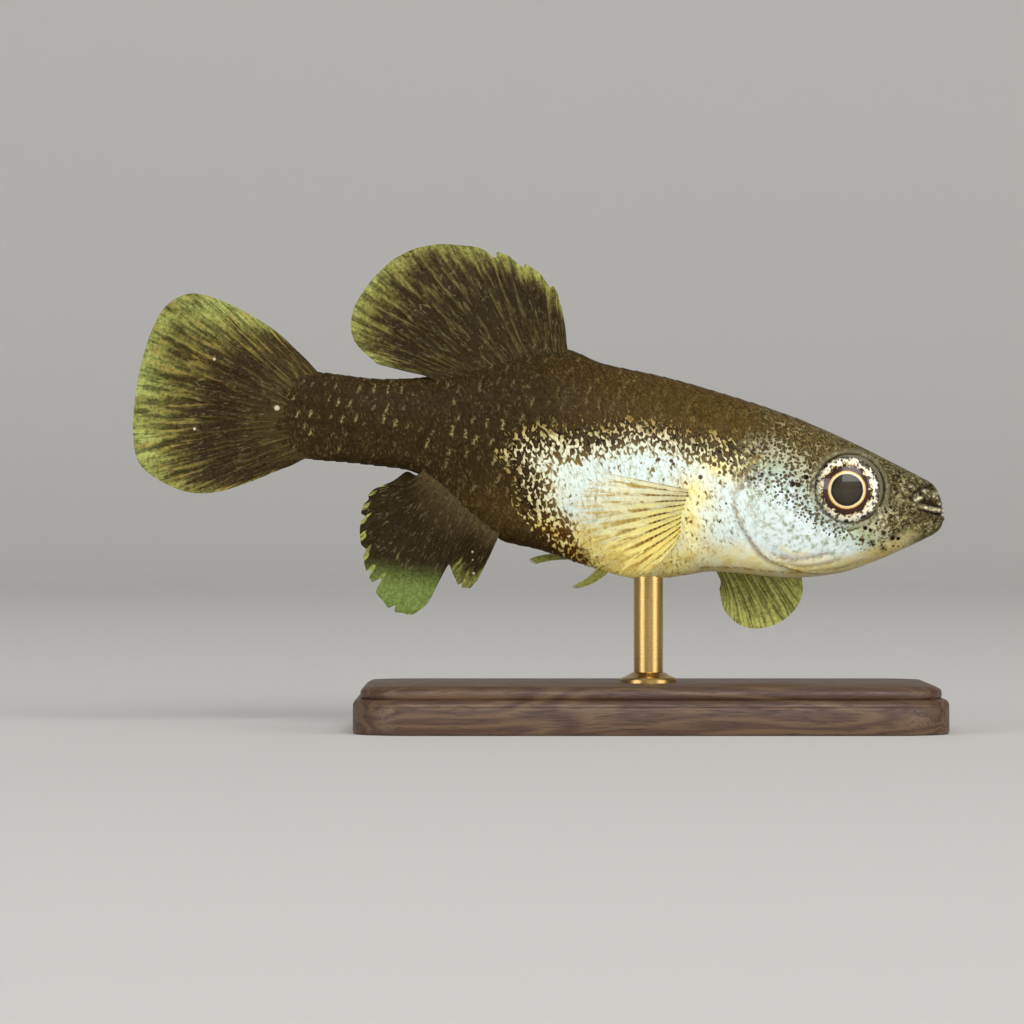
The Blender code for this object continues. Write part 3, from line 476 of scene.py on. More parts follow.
def map_for_bake(obj, places):
    """Gives each corner of the piece its own place on the map that the export bakes through."""
    layer = obj.data.uv_layers.new(name="OFBake")
    layer.data.foreach_set("uv", np.asarray(places, np.float32).ravel())


def corner_points(obj):
    found = np.empty(len(obj.data.loops), np.int32)
    obj.data.loops.foreach_get("vertex_index", found)
    return found


def dress(obj, material, slot, *nodes):
    """Makes the piece ride on the part, stand for its nodes and take its finish."""
    obj.data.materials.clear()
    obj.data.materials.append(material)
    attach(obj, "root")
    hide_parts(*nodes)


# Kinds of node that the finishes use most, some with the settings that go with them
MATH, RANGE, RAMP = "ShaderNodeMath", "ShaderNodeMapRange", "ShaderNodeValToRGB"
NOISE, CELLS, POINT, VECTOR = (
    "ShaderNodeTexNoise", "ShaderNodeTexVoronoi", "ShaderNodeAttribute", "ShaderNodeVectorMath",
)
LAY = ("ShaderNodeMix", {"data_type": "RGBA"})  # lays one colour over another
SHADE = ("ShaderNodeMix", {"data_type": "RGBA", "blend_type": "MULTIPLY"})
STRETCH = (VECTOR, {"operation": "MULTIPLY"})
TIMES, LESS, LARGER, UNSIGNED = (
    (MATH, {"operation": word}) for word in ("MULTIPLY", "SUBTRACT", "MAXIMUM", "ABSOLUTE")
)


def add(tree, kind, *inputs, stops=(), **settings):
    """Adds a node with its settings, and feeds its open sockets in turn with values or with the
    nodes or outputs that they come from. A kind may bring settings with it. stops are the places
    and colours of a ramp."""
    kind, given = kind if isinstance(kind, tuple) else (kind, {})
    made = tree.nodes.new(kind)
    for word, value in {**given, **settings}.items():
        setattr(made, word, value)
    for i, (where, colour) in enumerate(stops):
        elements = made.color_ramp.elements
        if i == 0:
            elements.remove(elements[-1])
        element = elements.new(where) if i else elements[0]
        element.position = where
        element.color = rgb(colour) if isinstance(colour, str) else (colour, colour, colour, 1)
    for socket, value in zip([socket for socket in made.inputs if socket.enabled], inputs):
        if isinstance(value, bpy.types.Node):
            value = next(output for output in value.outputs if output.enabled)
        if isinstance(value, bpy.types.NodeSocket):
            tree.links.new(value, socket)
        elif value is not None:
            socket.default_value = rgb(value) if str(value).startswith("#") else value
    return made


def new_finish(name, **values):
    """An empty material, its shader with the values that are the same all over, and the function
    that adds a node to it."""
    material = bpy.data.materials.new(name)
    material.use_nodes = True
    shader = material.node_tree.nodes["Principled BSDF"]
    for word, value in values.items():
        shader.inputs[word.replace("_", " ")].default_value = value
    return material, shader, partial(add, material.node_tree)


def wire(node, shader, colour, shine, height, relief):
    """Gives the shader its colour, its roughness and a bump whose highest point is relief mm."""
    bump = node("ShaderNodeBump", 1.0, relief * MM, None, height)
    for word, made in (("Base Color", colour), ("Roughness", shine), ("Normal", bump)):
        output = next(socket for socket in made.outputs if socket.enabled)
        shader.id_data.links.new(output, shader.inputs[word])


def fish_millimetres(node, lean=0.0):
    """Object coordinates in millimetres, turned so that x runs along the fish, or leaning."""
    place_of = node("ShaderNodeTexCoord").outputs["Object"]
    turn = (0.0, math.radians(lean - PITCH), 0.0)
    return node("ShaderNodeMapping", place_of, (0.0, 0.0, 0.0), turn, (1 / MM, 1 / MM, 1 / MM))


def fish_place(s, z):
    """Where a place on the side of the fish is in those coordinates."""
    ahead, _, height = place(np.array([s, 0.0, z]))
    return (PITCH_COS * ahead - PITCH_SIN * height, 0.0, PITCH_SIN * ahead + PITCH_COS * height)


def marks_of(node, words):
    """The numbers that the piece's points store under these names."""
    return {word: node(POINT, attribute_name=word) for word in words.split()}


def skin_finish(name, scaled):
    """Wet fish skin: a dark olive-brown back and tail, a side silvered by crystal layers in the
    skin and broken at its border into pale grains, and a golden belly. To the eye it is softly
    glossy, with fine scratch-like mottling over all. On scales each plate has a pale streak."""
    material, shader, node = new_finish(name, Specular_IOR_Level=0.08)
    read = marks_of(node, "silver gold tan spots head pearl tail snout stain seam pale rim")
    # The crystal layers of the silver side are glossier than the dark back
    gloss = node(RANGE, read["silver"], 0.2, 0.9, 0.03, 0.16)
    shader.id_data.links.new(gloss.outputs[0], shader.inputs["Specular IOR Level"])
    level, leaning = fish_millimetres(node), fish_millimetres(node, 24.0)
    grain = node(NOISE, leaning, 6.5, 3.0, 0.75)
    patches = node(NOISE, level, 1.0, 3.0, 0.6)

    # Pale grains about 0.15 by 0.25 mm lean forward at the top and run together inwards, until
    # only dark gaps are left between them
    warp = node(NOISE, leaning, 2.6, 2.0, 0.5).outputs["Color"]
    spread = node(STRETCH, leaning, (6.1, 2.0, 4.0))
    grains = node(NOISE, spread, 1.0, 0.5, 0.5, 2.0, 0.6)
    reach = node(RAMP, read["silver"], stops=(
        (0.0, 0.1), (0.10, 0.34), (0.26, 0.44), (0.5, 0.475), (0.72, 0.505), (0.9, 0.565), (1.0, 0.72),
    ))
    clumps = node(NOISE, leaning, 1.3, 1.0)
    loose = node(RANGE, clumps, 0.3, 0.7, -0.05, 0.05)
    over = node(MATH, node(LESS, reach, grains), loose)
    bright = node(RANGE, over, -0.012, 0.018)

    # Fine scratches 0.08 mm wide are lighter than the back that they lie on
    scratch_place = node(STRETCH, leaning, (12.0, 8.0, 4.4))
    scratch = node(RANGE, node(NOISE, scratch_place, 1.0, 1.5, 0.5, 2.0, 0.6), 0.54, 0.68, 0.0, 0.8)
    back = node(LAY, read["tail"], "#584521", "#382b15")
    clumped = node(TIMES, scratch, node(RANGE, clumps, 0.4, 0.6, 0.35, 1.0))
    back = node(LAY, clumped, back, node(LAY, read["tail"], "#937b46", "#675836"))
    coarse = node(RAMP, patches, stops=((0.3, 0.72), (0.5, 0.92), (0.7, 1.0)))
    back = node(SHADE, 0.8, back, coarse)
    # Round each grain the skin is almost black
    ink = node(TIMES, node(RAMP, read["silver"], stops=((0.06, 0.0), (0.26, 1.0))),
               node(RANGE, over, -0.16, -0.03))
    dark = node(LAY, ink, back, "#150e07")
    # Under the belly it is red-brown there
    rusty = node(RANGE, node(TIMES, read["gold"], read["silver"]), 0.12, 0.45, 0.0, 0.6)
    rusty = node(TIMES, rusty, node(RANGE, read["tail"], 0.15, 0.4))
    dark = node(LAY, rusty, dark, "#6b3d14")
    # and deep in the silver the gaps are only a thin gold-brown
    dark = node(LAY, node(RANGE, read["silver"], 0.62, 0.92, 0.0, 0.75), dark, "#8a7340")

    light = node(RAMP, read["silver"], stops=(
        (0.0, "#84693a"), (0.2, "#b79c5a"), (0.38, "#e6d8a6"), (0.6, "#eeeacb"), (0.8, "#e9f0de"),
        (1.0, "#e4f3ef"),
    ))
    amber = node(TIMES, node(RAMP, read["silver"], stops=((0.1, 1.0), (0.4, 0.8), (0.6, 0.0))),
                 node(RANGE, patches, 0.5, 0.6, 0.0, 0.8))
    light = node(LAY, amber, light, "#94702f")
    core = node(RANGE, over, 0.0, 0.13)
    core = node(RAMP, core, stops=((0.0, "#a89a78"), (0.5, "#dcd6c4"), (1.0, "#ffffff")))
    golden = node(RAMP, patches, stops=(
        (0.34, "#f1d676"), (0.45, "#fcee96"), (0.57, "#fff9b4"), (0.7, "#fbf9d8"),
    ))
    light = node(LAY, read["gold"], light, golden)
    light = node(SHADE, 1.0, light, core)
    # A thin grey-green veil of upright streaks, 0.1 mm wide, over the silver
    veil_place = node(STRETCH, leaning, (8.0, 5.0, 2.6))
    veil = node(RANGE, node(NOISE, veil_place, 1.0, 2.5, 0.65, 2.0, 0.4), 0.50, 0.66, 0.0, 0.65)
    light = node(LAY, veil, light, node(LAY, read["gold"], "#a09f70", "#d6a954"))
    side = node(LAY, bright, dark, light)

    # On the head dark dots, 0.1 mm across, thicken upwards over a ground from silver to olive
    wider = node(STRETCH, level, (5.6, 5.6, 5.6))
    dots = node(CELLS, node(VECTOR, warp, (1.2, 1.2, 1.2), wider, operation="MULTIPLY_ADD"), 1.0)
    dot_reach = node(RAMP, read["silver"], stops=(
        (0.0, 0.70), (0.15, 0.53), (0.4, 0.45), (0.6, 0.44), (0.78, 0.34), (1.0, 0.0),
    ))
    dot_over = node(LESS, dot_reach, dots)
    dotted = node(RANGE, dot_over, -0.09, 0.07)
    ground = node(RAMP, read["silver"], stops=(
        (0.0, "#9a8f62"), (0.25, "#c3c2a2"), (0.5, "#a8ba98"), (0.78, "#c0d4c4"), (1.0, "#e4f2f2"),
    ))
    specks = node(NOISE, level, 5.2, 2.0, 0.6)
    pearly = node(RAMP, node(NOISE, level, 3.0, 4.0, 0.7), stops=(
        (0.34, "#84937a"), (0.42, "#b8c6b2"), (0.50, "#deebe8"), (0.7, "#eaf7f8"),
    ))
    ground = node(LAY, read["pearl"], ground, pearly)
    crown = node(LAY, scratch, "#6a5730", "#ab9b62")
    olive = node(RAMP, specks, stops=(
        (0.36, "#33281a"), (0.47, "#5d5233"), (0.56, "#7c754c"), (0.68, "#a8a377"),
    ))
    crown = node(LAY, node(TIMES, read["snout"], 0.85), crown, olive)
    # Dark lines curl over the snout and the brow between pale flecks
    curls = node(NOISE, level, 2.6, 2.0, 0.5, 2.0, 1.2)
    curled = node(UNSIGNED, node(LESS, curls, 0.5))
    crown = node(LAY, node(RANGE, curled, 0.006, 0.04, 0.85, 0.0), crown, "#21180e")
    fleck = node(RANGE, node(NOISE, level, 3.1, 3.0, 0.6), 0.58, 0.68, 0.0, 0.8)
    crown = node(LAY, node(TIMES, fleck, read["snout"]), crown, "#bfbf98")
    # Each dot is darkest at its edge, so that small ones are almost black
    crown = node(LAY, node(RANGE, dot_over, 0.02, 0.25, 0.9, 0.0), crown, "#241a0f")
    head = node(LAY, dotted, ground, crown)
    colour = node(LAY, read["head"], side, head)
    tawny = node(RAMP, patches, stops=((0.36, "#ead484"), (0.48, "#f8eda8"), (0.6, "#fafacc")))
    chin = node(TIMES, read["snout"], 0.7)
    tawny = node(LAY, chin, tawny, "#b7a062")
    colour = node(LAY, read["tan"], colour, tawny)

    # Dark spots 0.15 mm across
    spot = node(CELLS, level, 2.7)
    spot = node(LESS, node(RANGE, read["spots"], 0.0, 1.0, -0.08, 0.50), spot)
    spot_colour = node(RAMP, read["silver"], stops=((0.4, "#1a120a"), (0.9, "#5a4526")))
    colour = node(LAY, node(RANGE, spot, -0.05, 0.05), colour, spot_colour)
    if scaled:
        colour = add_streaks(node, colour, read, grain)

    # Fine mottling over all, about 0.15 mm
    mottle = node(RAMP, grain, stops=((0.32, 0.50), (0.5, 0.86), (0.64, 1.0)))
    colour = node(SHADE, node(RANGE, read["silver"], 0.2, 0.9, 1.0, 0.25), colour, mottle)
    broken = node(RANGE, specks, 0.42, 0.55, 0.25, 1.0)
    for word in ("seam", "pale"):
        read[word] = node(TIMES, read[word], broken)
    # Tints of the head's marks and folds: the near-black one is painted shade in the sunk lines and round
    # the eye, the gold-brown seam tint is partly painted shade, and the pale one includes painted highlights
    # on the throat.
    for word, tint in (("rim", "#8b866a"), ("seam", "#9c7430"), ("stain", "#1d140b"), ("pale", "#e6dcb4")):
        colour = node(LAY, read[word], colour, tint)
    wire(node, shader, colour, node(RANGE, grain, 0.3, 0.7, 0.46, 0.30), grain, 0.012)
    return material


def add_streaks(node, colour, read, grain):
    """A pale beaded streak along each scale's free edge, which leans so that it meets the next
    scale's in a broken line, and a dark line outside it."""
    lie, luck = node(POINT, attribute_name="lie"), node(POINT, attribute_name="luck")
    # A second number from the first, so that a streak's place and its length don't go together
    other = node(MATH, node(TIMES, luck, 17.3), operation="FRACT")
    lean = node("ShaderNodeCombineXYZ", 1.0, node(RANGE, other, 0.0, 1.0, -0.02, 0.34), 0.0)
    slanted = node(VECTOR, lie, lean, operation="DOT_PRODUCT")
    centre = node(RANGE, other, 0.0, 1.0, 0.02, 0.26)
    wobble = node(RANGE, grain, 0.3, 0.7, -0.08, 0.08)
    away = node(LESS, node(MATH, slanted, wobble), centre)
    share = node(RANGE, node(UNSIGNED, away), 0.015, 0.07, 1.0, 0.0)
    across = node(VECTOR, lie, (0.0, 1.0, 0.0), operation="DOT_PRODUCT")
    across = node(UNSIGNED, node(MATH, across, node(RANGE, other, 0.0, 1.0, -0.2, 0.2)))
    length = node(RANGE, luck, 0.0, 1.0, 0.05, 0.30)
    ends = node(RANGE, node(LESS, across, length), -0.08, 0.02, 1.0, 0.0)
    beads = node(RANGE, node(NOISE, lie, 9.0, 1.0), 0.38, 0.56, 0.15, 1.0)
    chance = node(RANGE, luck, 0.15, 0.9, 0.1, 1.0)
    dark_side = node(RANGE, read["silver"], 0.15, 0.5, 1.0, 0.0)
    for factor in (ends, beads, chance, dark_side, node(POINT, attribute_name="streaky")):
        share = node(TIMES, share, factor)
    streak = node(RAMP, read["tail"], stops=((0.2, "#97855a"), (0.7, "#b0a06a")))
    colour = node(LAY, share, colour, streak)
    flat = node(STRETCH, lie, (1.0, 1.0, 0.0))
    radial = node(VECTOR, flat, operation="LENGTH")
    edge = node(TIMES, node(RANGE, radial, 0.43, 0.5), node(RANGE, read["silver"], 0.0, 1.0, 0.35, 0.12))
    return node(LAY, edge, colour, "#2f2516")


def eye_finish():
    """A fish's eye: a dark pupil inside a thin gold ring, a dark red-brown band and a broken
    silver-gold ring, all under a clear wet cornea, which gives a sharp mirror highlight."""
    material, shader, node = new_finish(
        "clear_cornea_over_gold_iris", Specular_IOR_Level=0.2, Coat_Weight=0.5, Coat_Roughness=0.05,
    )
    # The iris sits a little back of the socket's middle
    middle = fish_place(EYE_S + 0.15, EYE_Z - 0.08)
    centred = node(VECTOR, fish_millimetres(node), middle, operation="SUBTRACT")
    flat = node(STRETCH, centred, (1.0, 0.0, 1.0))
    radius = node(VECTOR, flat, operation="LENGTH")
    ragged = node(NOISE, flat, 3.0, 4.0, 0.65)
    wavy = node(MATH, radius, node(RANGE, ragged, 0.3, 0.7, -0.20, 0.20))
    share = node(MATH, wavy, EYE_RADIUS, operation="DIVIDE")
    plain = node(MATH, radius, node(RANGE, ragged, 0.3, 0.7, -0.015, 0.015))
    plain = node(MATH, plain, EYE_RADIUS, operation="DIVIDE")
    pupil, inner, band, outer = (r / EYE_RADIUS for r in (PUPIL, INNER_RING, DARK_BAND, OUTER_RING))
    iris = node(RAMP, share, stops=(
        (0.0, "#5a2c12"), (band - 0.06, "#3a1a0c"), (band, "#1c0f09"), (band + 0.03, "#e2c98d"),
        (0.5 * (band + outer), "#fdfde8"), (outer - 0.02, "#f4eecb"), (outer + 0.03, "#1d140c"),
    ))
    blots = node(RANGE, node(NOISE, flat, 1.9, 2.0, 0.6, 2.0, 0.8), 0.59, 0.64, 0.0, 0.9)
    iris = node(LAY, blots, iris, "#341d10")
    gaps = node(RANGE, node(NOISE, flat, 4.6, 2.0, 0.5, 2.0, 0.6), 0.54, 0.60, 0.0, 0.9)
    iris = node(LAY, gaps, iris, "#2a170d")
    # The skin's edge round the eye is a thin grey-gold rim
    iris = node(LAY, node(RANGE, radius, EYE_RADIUS - 0.07, EYE_RADIUS - 0.03), iris, "#6f6950")
    core = node(RAMP, plain, stops=(
        (0.0, "#37301f"), (pupil - 0.10, "#2c2618"), (pupil - 0.03, "#14100b"), (pupil, "#1a120c"),
        (pupil + 0.025, "#f3e2b4"), (inner - 0.02, "#e2b25c"), (inner, "#5a2c12"),
    ))
    in_core = node(RANGE, plain, inner - 0.005, inner + 0.02, 1.0, 0.0)
    colour = node(LAY, in_core, iris, core)
    wire(node, shader, colour, node(RANGE, ragged, 0.3, 0.7, 0.38, 0.30), ragged, 0.01)
    return material


def web_finish(name, colours, root_colour, pale_line, dark_line, spots=(), gaps=(0.1, 0.5)):
    """Fin web on bony rays: a thin skin with pigment cells, dark near the root and yellow-green
    at the margin, softly glossy. Pigment runs along the rays in light and dark streaks, and fine
    specks lie over all. The colours run from the root's to the margin's. spots are the places of
    small pale round spots, as distance behind the snout, height and radius. gaps are how dark the
    faintest gap between two rays is and how high up a ray's side it reaches, as shares."""
    material, shader, node = new_finish(name, Specular_IOR_Level=0.05)
    read = marks_of(node, "ridge along web margin special")
    level = fish_millimetres(node)
    wide = node(NOISE, level, 0.8, 3.0, 0.6)
    fine = node(NOISE, level, 6.0, 3.0, 0.75)
    # Streaks come from noise on the ray's number and on the millimetres along it
    runs = node(NOISE, node(STRETCH, read["web"], (1.6, 0.36, 0.0)), 1.0, 3.0, 0.6)
    drift = node(RANGE, runs, 0.3, 0.7, -0.20, 0.20)
    drift = node(MATH, drift, node(RANGE, wide, 0.3, 0.7, -0.06, 0.06))
    drift = node(MATH, drift, node(RANGE, fine, 0.3, 0.7, -0.11, 0.11))
    places = (0.0, 0.22, 0.42, 0.62, 0.82, 1.0)
    colour = node(RAMP, node(MATH, read["margin"], drift), stops=tuple(zip(places, colours.split())))
    # At the root the body's colour runs on into the fin
    colour = node(LAY, node(RANGE, read["along"], 0.0, 0.32, 0.9, 0.0), colour, root_colour)
    lines = node(NOISE, node(STRETCH, read["web"], (4.2, 0.55, 0.0)), 1.0, 2.5, 0.55)
    strength = node(RAMP, read["margin"], stops=((0.0, 0.08), (0.2, 0.36), (0.5, 0.70), (1.0, 0.6)))
    plain = node(RANGE, read["special"], 0.0, 0.6, 1.0, 0.0)
    strength = node(TIMES, strength, plain)
    # The web is darkest half way between two rays
    gap = node(TIMES, node(RANGE, read["ridge"], 0.12, gaps[1], 0.9, 0.0),
               node(RANGE, runs, 0.40, 0.56, gaps[0], 1.0))
    dark = node(LARGER, node(RANGE, lines, 0.52, 0.60), gap)
    dark = node(TIMES, dark, strength)
    colour = node(LAY, dark, colour, dark_line)
    pale = node(TIMES, node(RANGE, lines, 0.47, 0.37, 0.0, 0.85), strength)
    colour = node(LAY, pale, colour, pale_line)
    green = node(RAMP, fine, stops=((0.35, "#5d6e33"), (0.5, "#6c7c3e"), (0.66, "#7d8d4c")))
    colour = node(LAY, read["special"], colour, green)
    mottle = node(RAMP, fine, stops=((0.32, 0.50), (0.5, 0.86), (0.64, 1.0)))
    colour = node(SHADE, node(RANGE, read["special"], 0.0, 1.0, 1.0, 0.3), colour, mottle)
    # A few fine pale scratches catch the light
    thin = node(NOISE, node(STRETCH, read["web"], (7.0, 2.2, 0.0)), 1.0, 1.0, 0.5, 2.0, 1.2)
    flecks = node(TIMES, node(RANGE, thin, 0.62, 0.70, 0.0, 0.22), plain)
    colour = node(LAY, flecks, colour, "#a39a68")
    sideways = node(STRETCH, level, (1.0, 0.0, 1.0))
    for s, z, radius in spots:
        away = node(VECTOR, sideways, fish_place(s, z), operation="DISTANCE")
        colour = node(LAY, node(RANGE, away, 0.6 * radius, 1.2 * radius, 0.8, 0.0), colour, "#d2cfa8")
    height = node(MATH, fine, node(TIMES, read["ridge"], 0.5))
    wire(node, shader, colour, node(RANGE, fine, 0.3, 0.7, 0.52, 0.36), height, 0.012)
    return material


def gold_web_finish():
    """Fin web on bony rays, clear gold: the silver side shows through it, and the rays are dark
    brown near the root and jointed, so they read as broken lines."""
    material, shader, node = new_finish(
        "clear_gold_fin_web_on_dark_jointed_rays", Specular_IOR_Level=0.2,
    )
    read = marks_of(node, "ridge along web margin length")
    fine = node(NOISE, fish_millimetres(node), 4.0, 3.0, 0.7)
    runs = node(NOISE, node(STRETCH, read["web"], (1.8, 0.8, 0.0)), 1.0, 3.0, 0.6, 2.0, 0.8)
    tone = node(MATH, read["margin"], node(RANGE, fine, 0.3, 0.7, -0.30, 0.30))
    tone = node(MATH, tone, node(RANGE, runs, 0.3, 0.7, -0.30, 0.30))
    web = node(RAMP, tone, stops=(
        (0.0, "#f8f0b8"), (0.3, "#fbec92"), (0.6, "#fcea84"), (0.85, "#fae076"), (1.0, "#e6b854"),
    ))
    # The rays' joints are 0.34 mm apart, and show as gaps in their colour
    beat = node(MATH, read["length"], 0.34, operation="MODULO")
    joint = node(RANGE, beat, 0.22, 0.31, 1.0, 0.45)
    fading = node(RAMP, read["along"], stops=(
        (0.02, 1.0), (0.4, 1.0), (0.6, 0.95), (0.85, 0.85), (1.0, 0.6),
    ))
    share = node(RANGE, read["ridge"], 0.25, 0.60)
    for factor in (fading, joint, node(RANGE, runs, 0.40, 0.54, 0.15, 1.0)):
        share = node(TIMES, share, factor)
    # and the lower rays stay brown further out
    reach = node(LESS, read["along"], node(TIMES, read["margin"], 0.3))
    ray = node(RAMP, reach, stops=((0.0, "#2e1407"), (0.2, "#52300f"), (0.4, "#7f5a10"), (0.65, "#b08a1e")))
    colour = node(LAY, share, web, ray)
    outer = node(RANGE, node(MATH, read["along"], node(RANGE, runs, 0.35, 0.65, -0.2, 0.2)),
                 0.5, 1.0, 1.0, 0.0)
    cover = node(TIMES, node(RANGE, tone, 0.0, 0.8, 0.50, 0.92), outer)
    cover = node(LARGER, cover, node(TIMES, share, 0.9))
    cover = node(TIMES, cover, node(RANGE, read["along"], 0.8, 1.0, 1.0, 0.3))
    shader.id_data.links.new(cover.outputs[0], shader.inputs["Alpha"])
    wire(node, shader, colour, node(RANGE, fine, 0.3, 0.7, 0.46, 0.32), fine, 0.01)
    return material


def wood_finish():
    """Oiled walnut, planed and sanded: dark brown grain along the base, with fine open pores,
    and a low sheen from the oil."""
    material, shader, node = new_finish("oiled_walnut_sanded")
    place_of = node("ShaderNodeTexCoord").outputs["Object"]
    # Growth rings about 1 mm apart, drawn out along the base
    long = node(STRETCH, place_of, (0.05 / MM, 0.42 / MM, 0.42 / MM))
    turns = node(TIMES, node(NOISE, long, 1.0, 3.0, 0.5, 2.0, 0.3), 60.0)
    band = node(RANGE, node(MATH, turns, operation="SINE"), -1.0, 1.0)
    colour = node(RAMP, band, stops=((0.0, "#4a3020"), (0.5, "#59402a"), (1.0, "#644a31")))
    # Pores are drawn 0.08 mm wide, a little coarser than real ones, so that they show
    pore_place = node(STRETCH, place_of, (1.2 / MM, 11.0 / MM, 11.0 / MM))
    pores = node(NOISE, pore_place, 1.0, 2.0)
    pore = node(RANGE, pores, 0.34, 0.46, 0.62, 1.0)
    colour = node(SHADE, 1.0, colour, pore)
    wire(node, shader, colour, node(RANGE, pores, 0.3, 0.7, 0.6, 0.38), pore, 0.012)
    return material


def brass_finish():
    """Turned brass, satin: fine rings round the rod from the lathe stretch its highlights."""
    material, shader, node = new_finish("satin_turned_brass", Metallic=1.0)
    # Tool marks are 0.06 mm apart, as fine as the render can show
    place_of = node("ShaderNodeTexCoord").outputs["Object"]
    turned = node(STRETCH, place_of, (0.05 / MM, 0.05 / MM, 16.0 / MM))
    rings = node(NOISE, turned, 1.0, 2.0)
    colour = node(RAMP, rings, stops=((0.3, "#b3945a"), (0.5, "#bb9c60"), (0.7, "#c3a66c")))
    wire(node, shader, colour, node(RANGE, rings, 0.3, 0.7, 0.32, 0.26), rings, 0.0012)
    return material


def stacked(name, rings):
    """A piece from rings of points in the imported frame, each joined to the next, with flat ends."""
    rows, sides = len(rings), len(rings[0])
    last = (rows - 1) * sides
    ends = [tuple(range(sides - 1, -1, -1)), tuple(range(last, last + sides))]
    return solid(name, np.concatenate(rings), ring_faces(rows, sides), ends, placed=True, sharp=35.0)


def make_skin():
    """One skin from snout to tail, with the folds of the head raised and sunk in its surface."""
    rows, sides = SKIN_ROWS, SKIN_SIDES
    share = np.linspace(0, 1, rows + 1)[1:, None]
    angle = 2 * math.pi * np.arange(sides)[None, :] / sides
    s = (SKIN_END + SKIN_END_BOW * np.sin(angle) ** 2) * share**2
    angle = np.broadcast_to(angle, s.shape)
    base = body_point(s, angle)
    out, tints = head_relief(s, base[..., 2])
    sideways = smoothstep(np.abs(np.sin(angle)), 0.05, 0.3)
    out = np.maximum(out * np.where(s < 0.6, 1.0, sideways), -0.8) - SKIN_DEPTH
    points = base + body_normal(s, angle) * out[..., None]

    pole, first = rows * sides, (rows - 1) * sides
    extra = [(pole, j, (j + 1) % sides) for j in range(sides)]
    for j in range(sides // 2):
        face = [first + j, first + j + 1, first + sides - j - 1, first + (sides - j) % sides]
        extra.append(tuple(dict.fromkeys(face)))
    points = np.vstack([points.reshape(-1, 3), [[0.0, 0.0, STATIONS[0][4]]]])
    skin = solid("skin", points, ring_faces(rows, sides), extra, sharp=80.0)
    for word, values in {**zones(s, base[..., 2]), **tints}.items():
        mark(skin, word, np.append(values.ravel(), values[0].mean()))

    # The map runs along the body and round it from the back, so its one seam is on the back
    where = np.stack(np.broadcast_arrays(0.01 + 0.98 * share, np.arange(sides) / sides), axis=-1)
    corners = np.vstack([where.reshape(-1, 2), [[0.005, 0.5]]])[corner_points(skin)]
    counts = np.empty(len(skin.data.polygons), np.int32)
    skin.data.polygons.foreach_get("loop_total", counts)
    face_of = np.repeat(np.arange(len(counts)), counts)
    most = np.zeros(len(counts))
    np.maximum.at(most, face_of, corners[:, 1])
    corners[(most[face_of] > 0.9) & (corners[:, 1] < 0.1) & (corners[:, 0] > 0.005), 1] += 1.0
    map_for_bake(skin, corners * (1.0, 0.99))
    return skin


def plate():
    """One scale as a closed plate, flat and a unit across, with its free edge at +x. Its rear
    is round and its root squarer, and its top is slightly domed."""
    mesh = bpy.data.meshes.new("plate")
    shell = bmesh.new()

    def ring(size, height):
        made = []
        for i in range(SCALE_AROUND):
            x, y = math.cos(2 * math.pi * i / SCALE_AROUND), math.sin(2 * math.pi * i / SCALE_AROUND)
            square = 1.0 if x > 0 else (1 - 0.25 * abs(x * y)) ** -1
            dome = height - 0.10 * size * size
            made.append(shell.verts.new((0.5 * size * x * square, 0.5 * size * y * square, dome)))
        return made

    middle = shell.verts.new((0.0, 0.0, 0.0))
    inner, outer, under = ring(0.55, 0.0), ring(1.0, 0.0), ring(0.97, -0.4)
    for i in range(SCALE_AROUND):
        k = (i + 1) % SCALE_AROUND
        shell.faces.new((middle, inner[i], inner[k]))
        shell.faces.new((inner[i], outer[i], outer[k], inner[k]))
        shell.faces.new((outer[i], under[i], under[k], outer[k]))
    shell.faces.new(list(reversed(under)))
    shell.to_mesh(mesh)
    shell.free()
    return link("plate", mesh)


def scale_tree(material):
    """Lays one plate on each root, varied in size and turn, and keeps its lie and its luck."""
    tree = bpy.data.node_groups.new("scale_rows", "GeometryNodeTree")
    for name, way, kind, value in (
        ("Roots", "INPUT", "Geometry", None), ("Plate", "INPUT", "Object", None),
        ("Length", "INPUT", "Float", SCALE_LENGTH), ("Width", "INPUT", "Float", SCALE_WIDTH),
        ("Thickness", "INPUT", "Float", SCALE_THICK), ("Seed", "INPUT", "Int", SEED),
        ("Scales", "OUTPUT", "Geometry", None),
    ):
        socket = tree.interface.new_socket(name, in_out=way, socket_type="NodeSocket" + kind)
        if value is not None:
            socket.default_value = value
    node = partial(add, tree)
    given = node("NodeGroupInput").outputs
    keep, chance = "GeometryNodeStoreNamedAttribute", "FunctionNodeRandomValue"
    three = {"data_type": "FLOAT_VECTOR"}
    shape = node("GeometryNodeObjectInfo", given["Plate"]).outputs["Geometry"]
    shape = node(keep, shape, None, "lie", node("GeometryNodeInputPosition"), domain="POINT", **three)
    luck = node(chance, 0.0, 1.0, None, given["Seed"], data_type="FLOAT")
    roots = node(keep, given["Roots"], None, "luck", luck, data_type="FLOAT", domain="POINT")
    size = node("GeometryNodeInputNamedAttribute", "size", data_type="FLOAT")
    spread = node(chance, (0.93, 0.93, 1.0), (1.07, 1.07, 1.0), None, given["Seed"], **three)
    sizes = node("ShaderNodeCombineXYZ", given["Length"], given["Width"], given["Thickness"])
    sizes = node(VECTOR, node(STRETCH, sizes, spread), size, operation="SCALE")
    turn = node(chance, (0.0, 0.0, -0.07), (0.0, 0.0, 0.07), None, given["Seed"], **three)
    laid = node("GeometryNodeInstanceOnPoints", roots, None, shape, None, None, turn, sizes)
    laid = node("GeometryNodeRealizeInstances", laid)
    node("NodeGroupOutput", node("GeometryNodeSetMaterial", laid, None, material))
    return tree


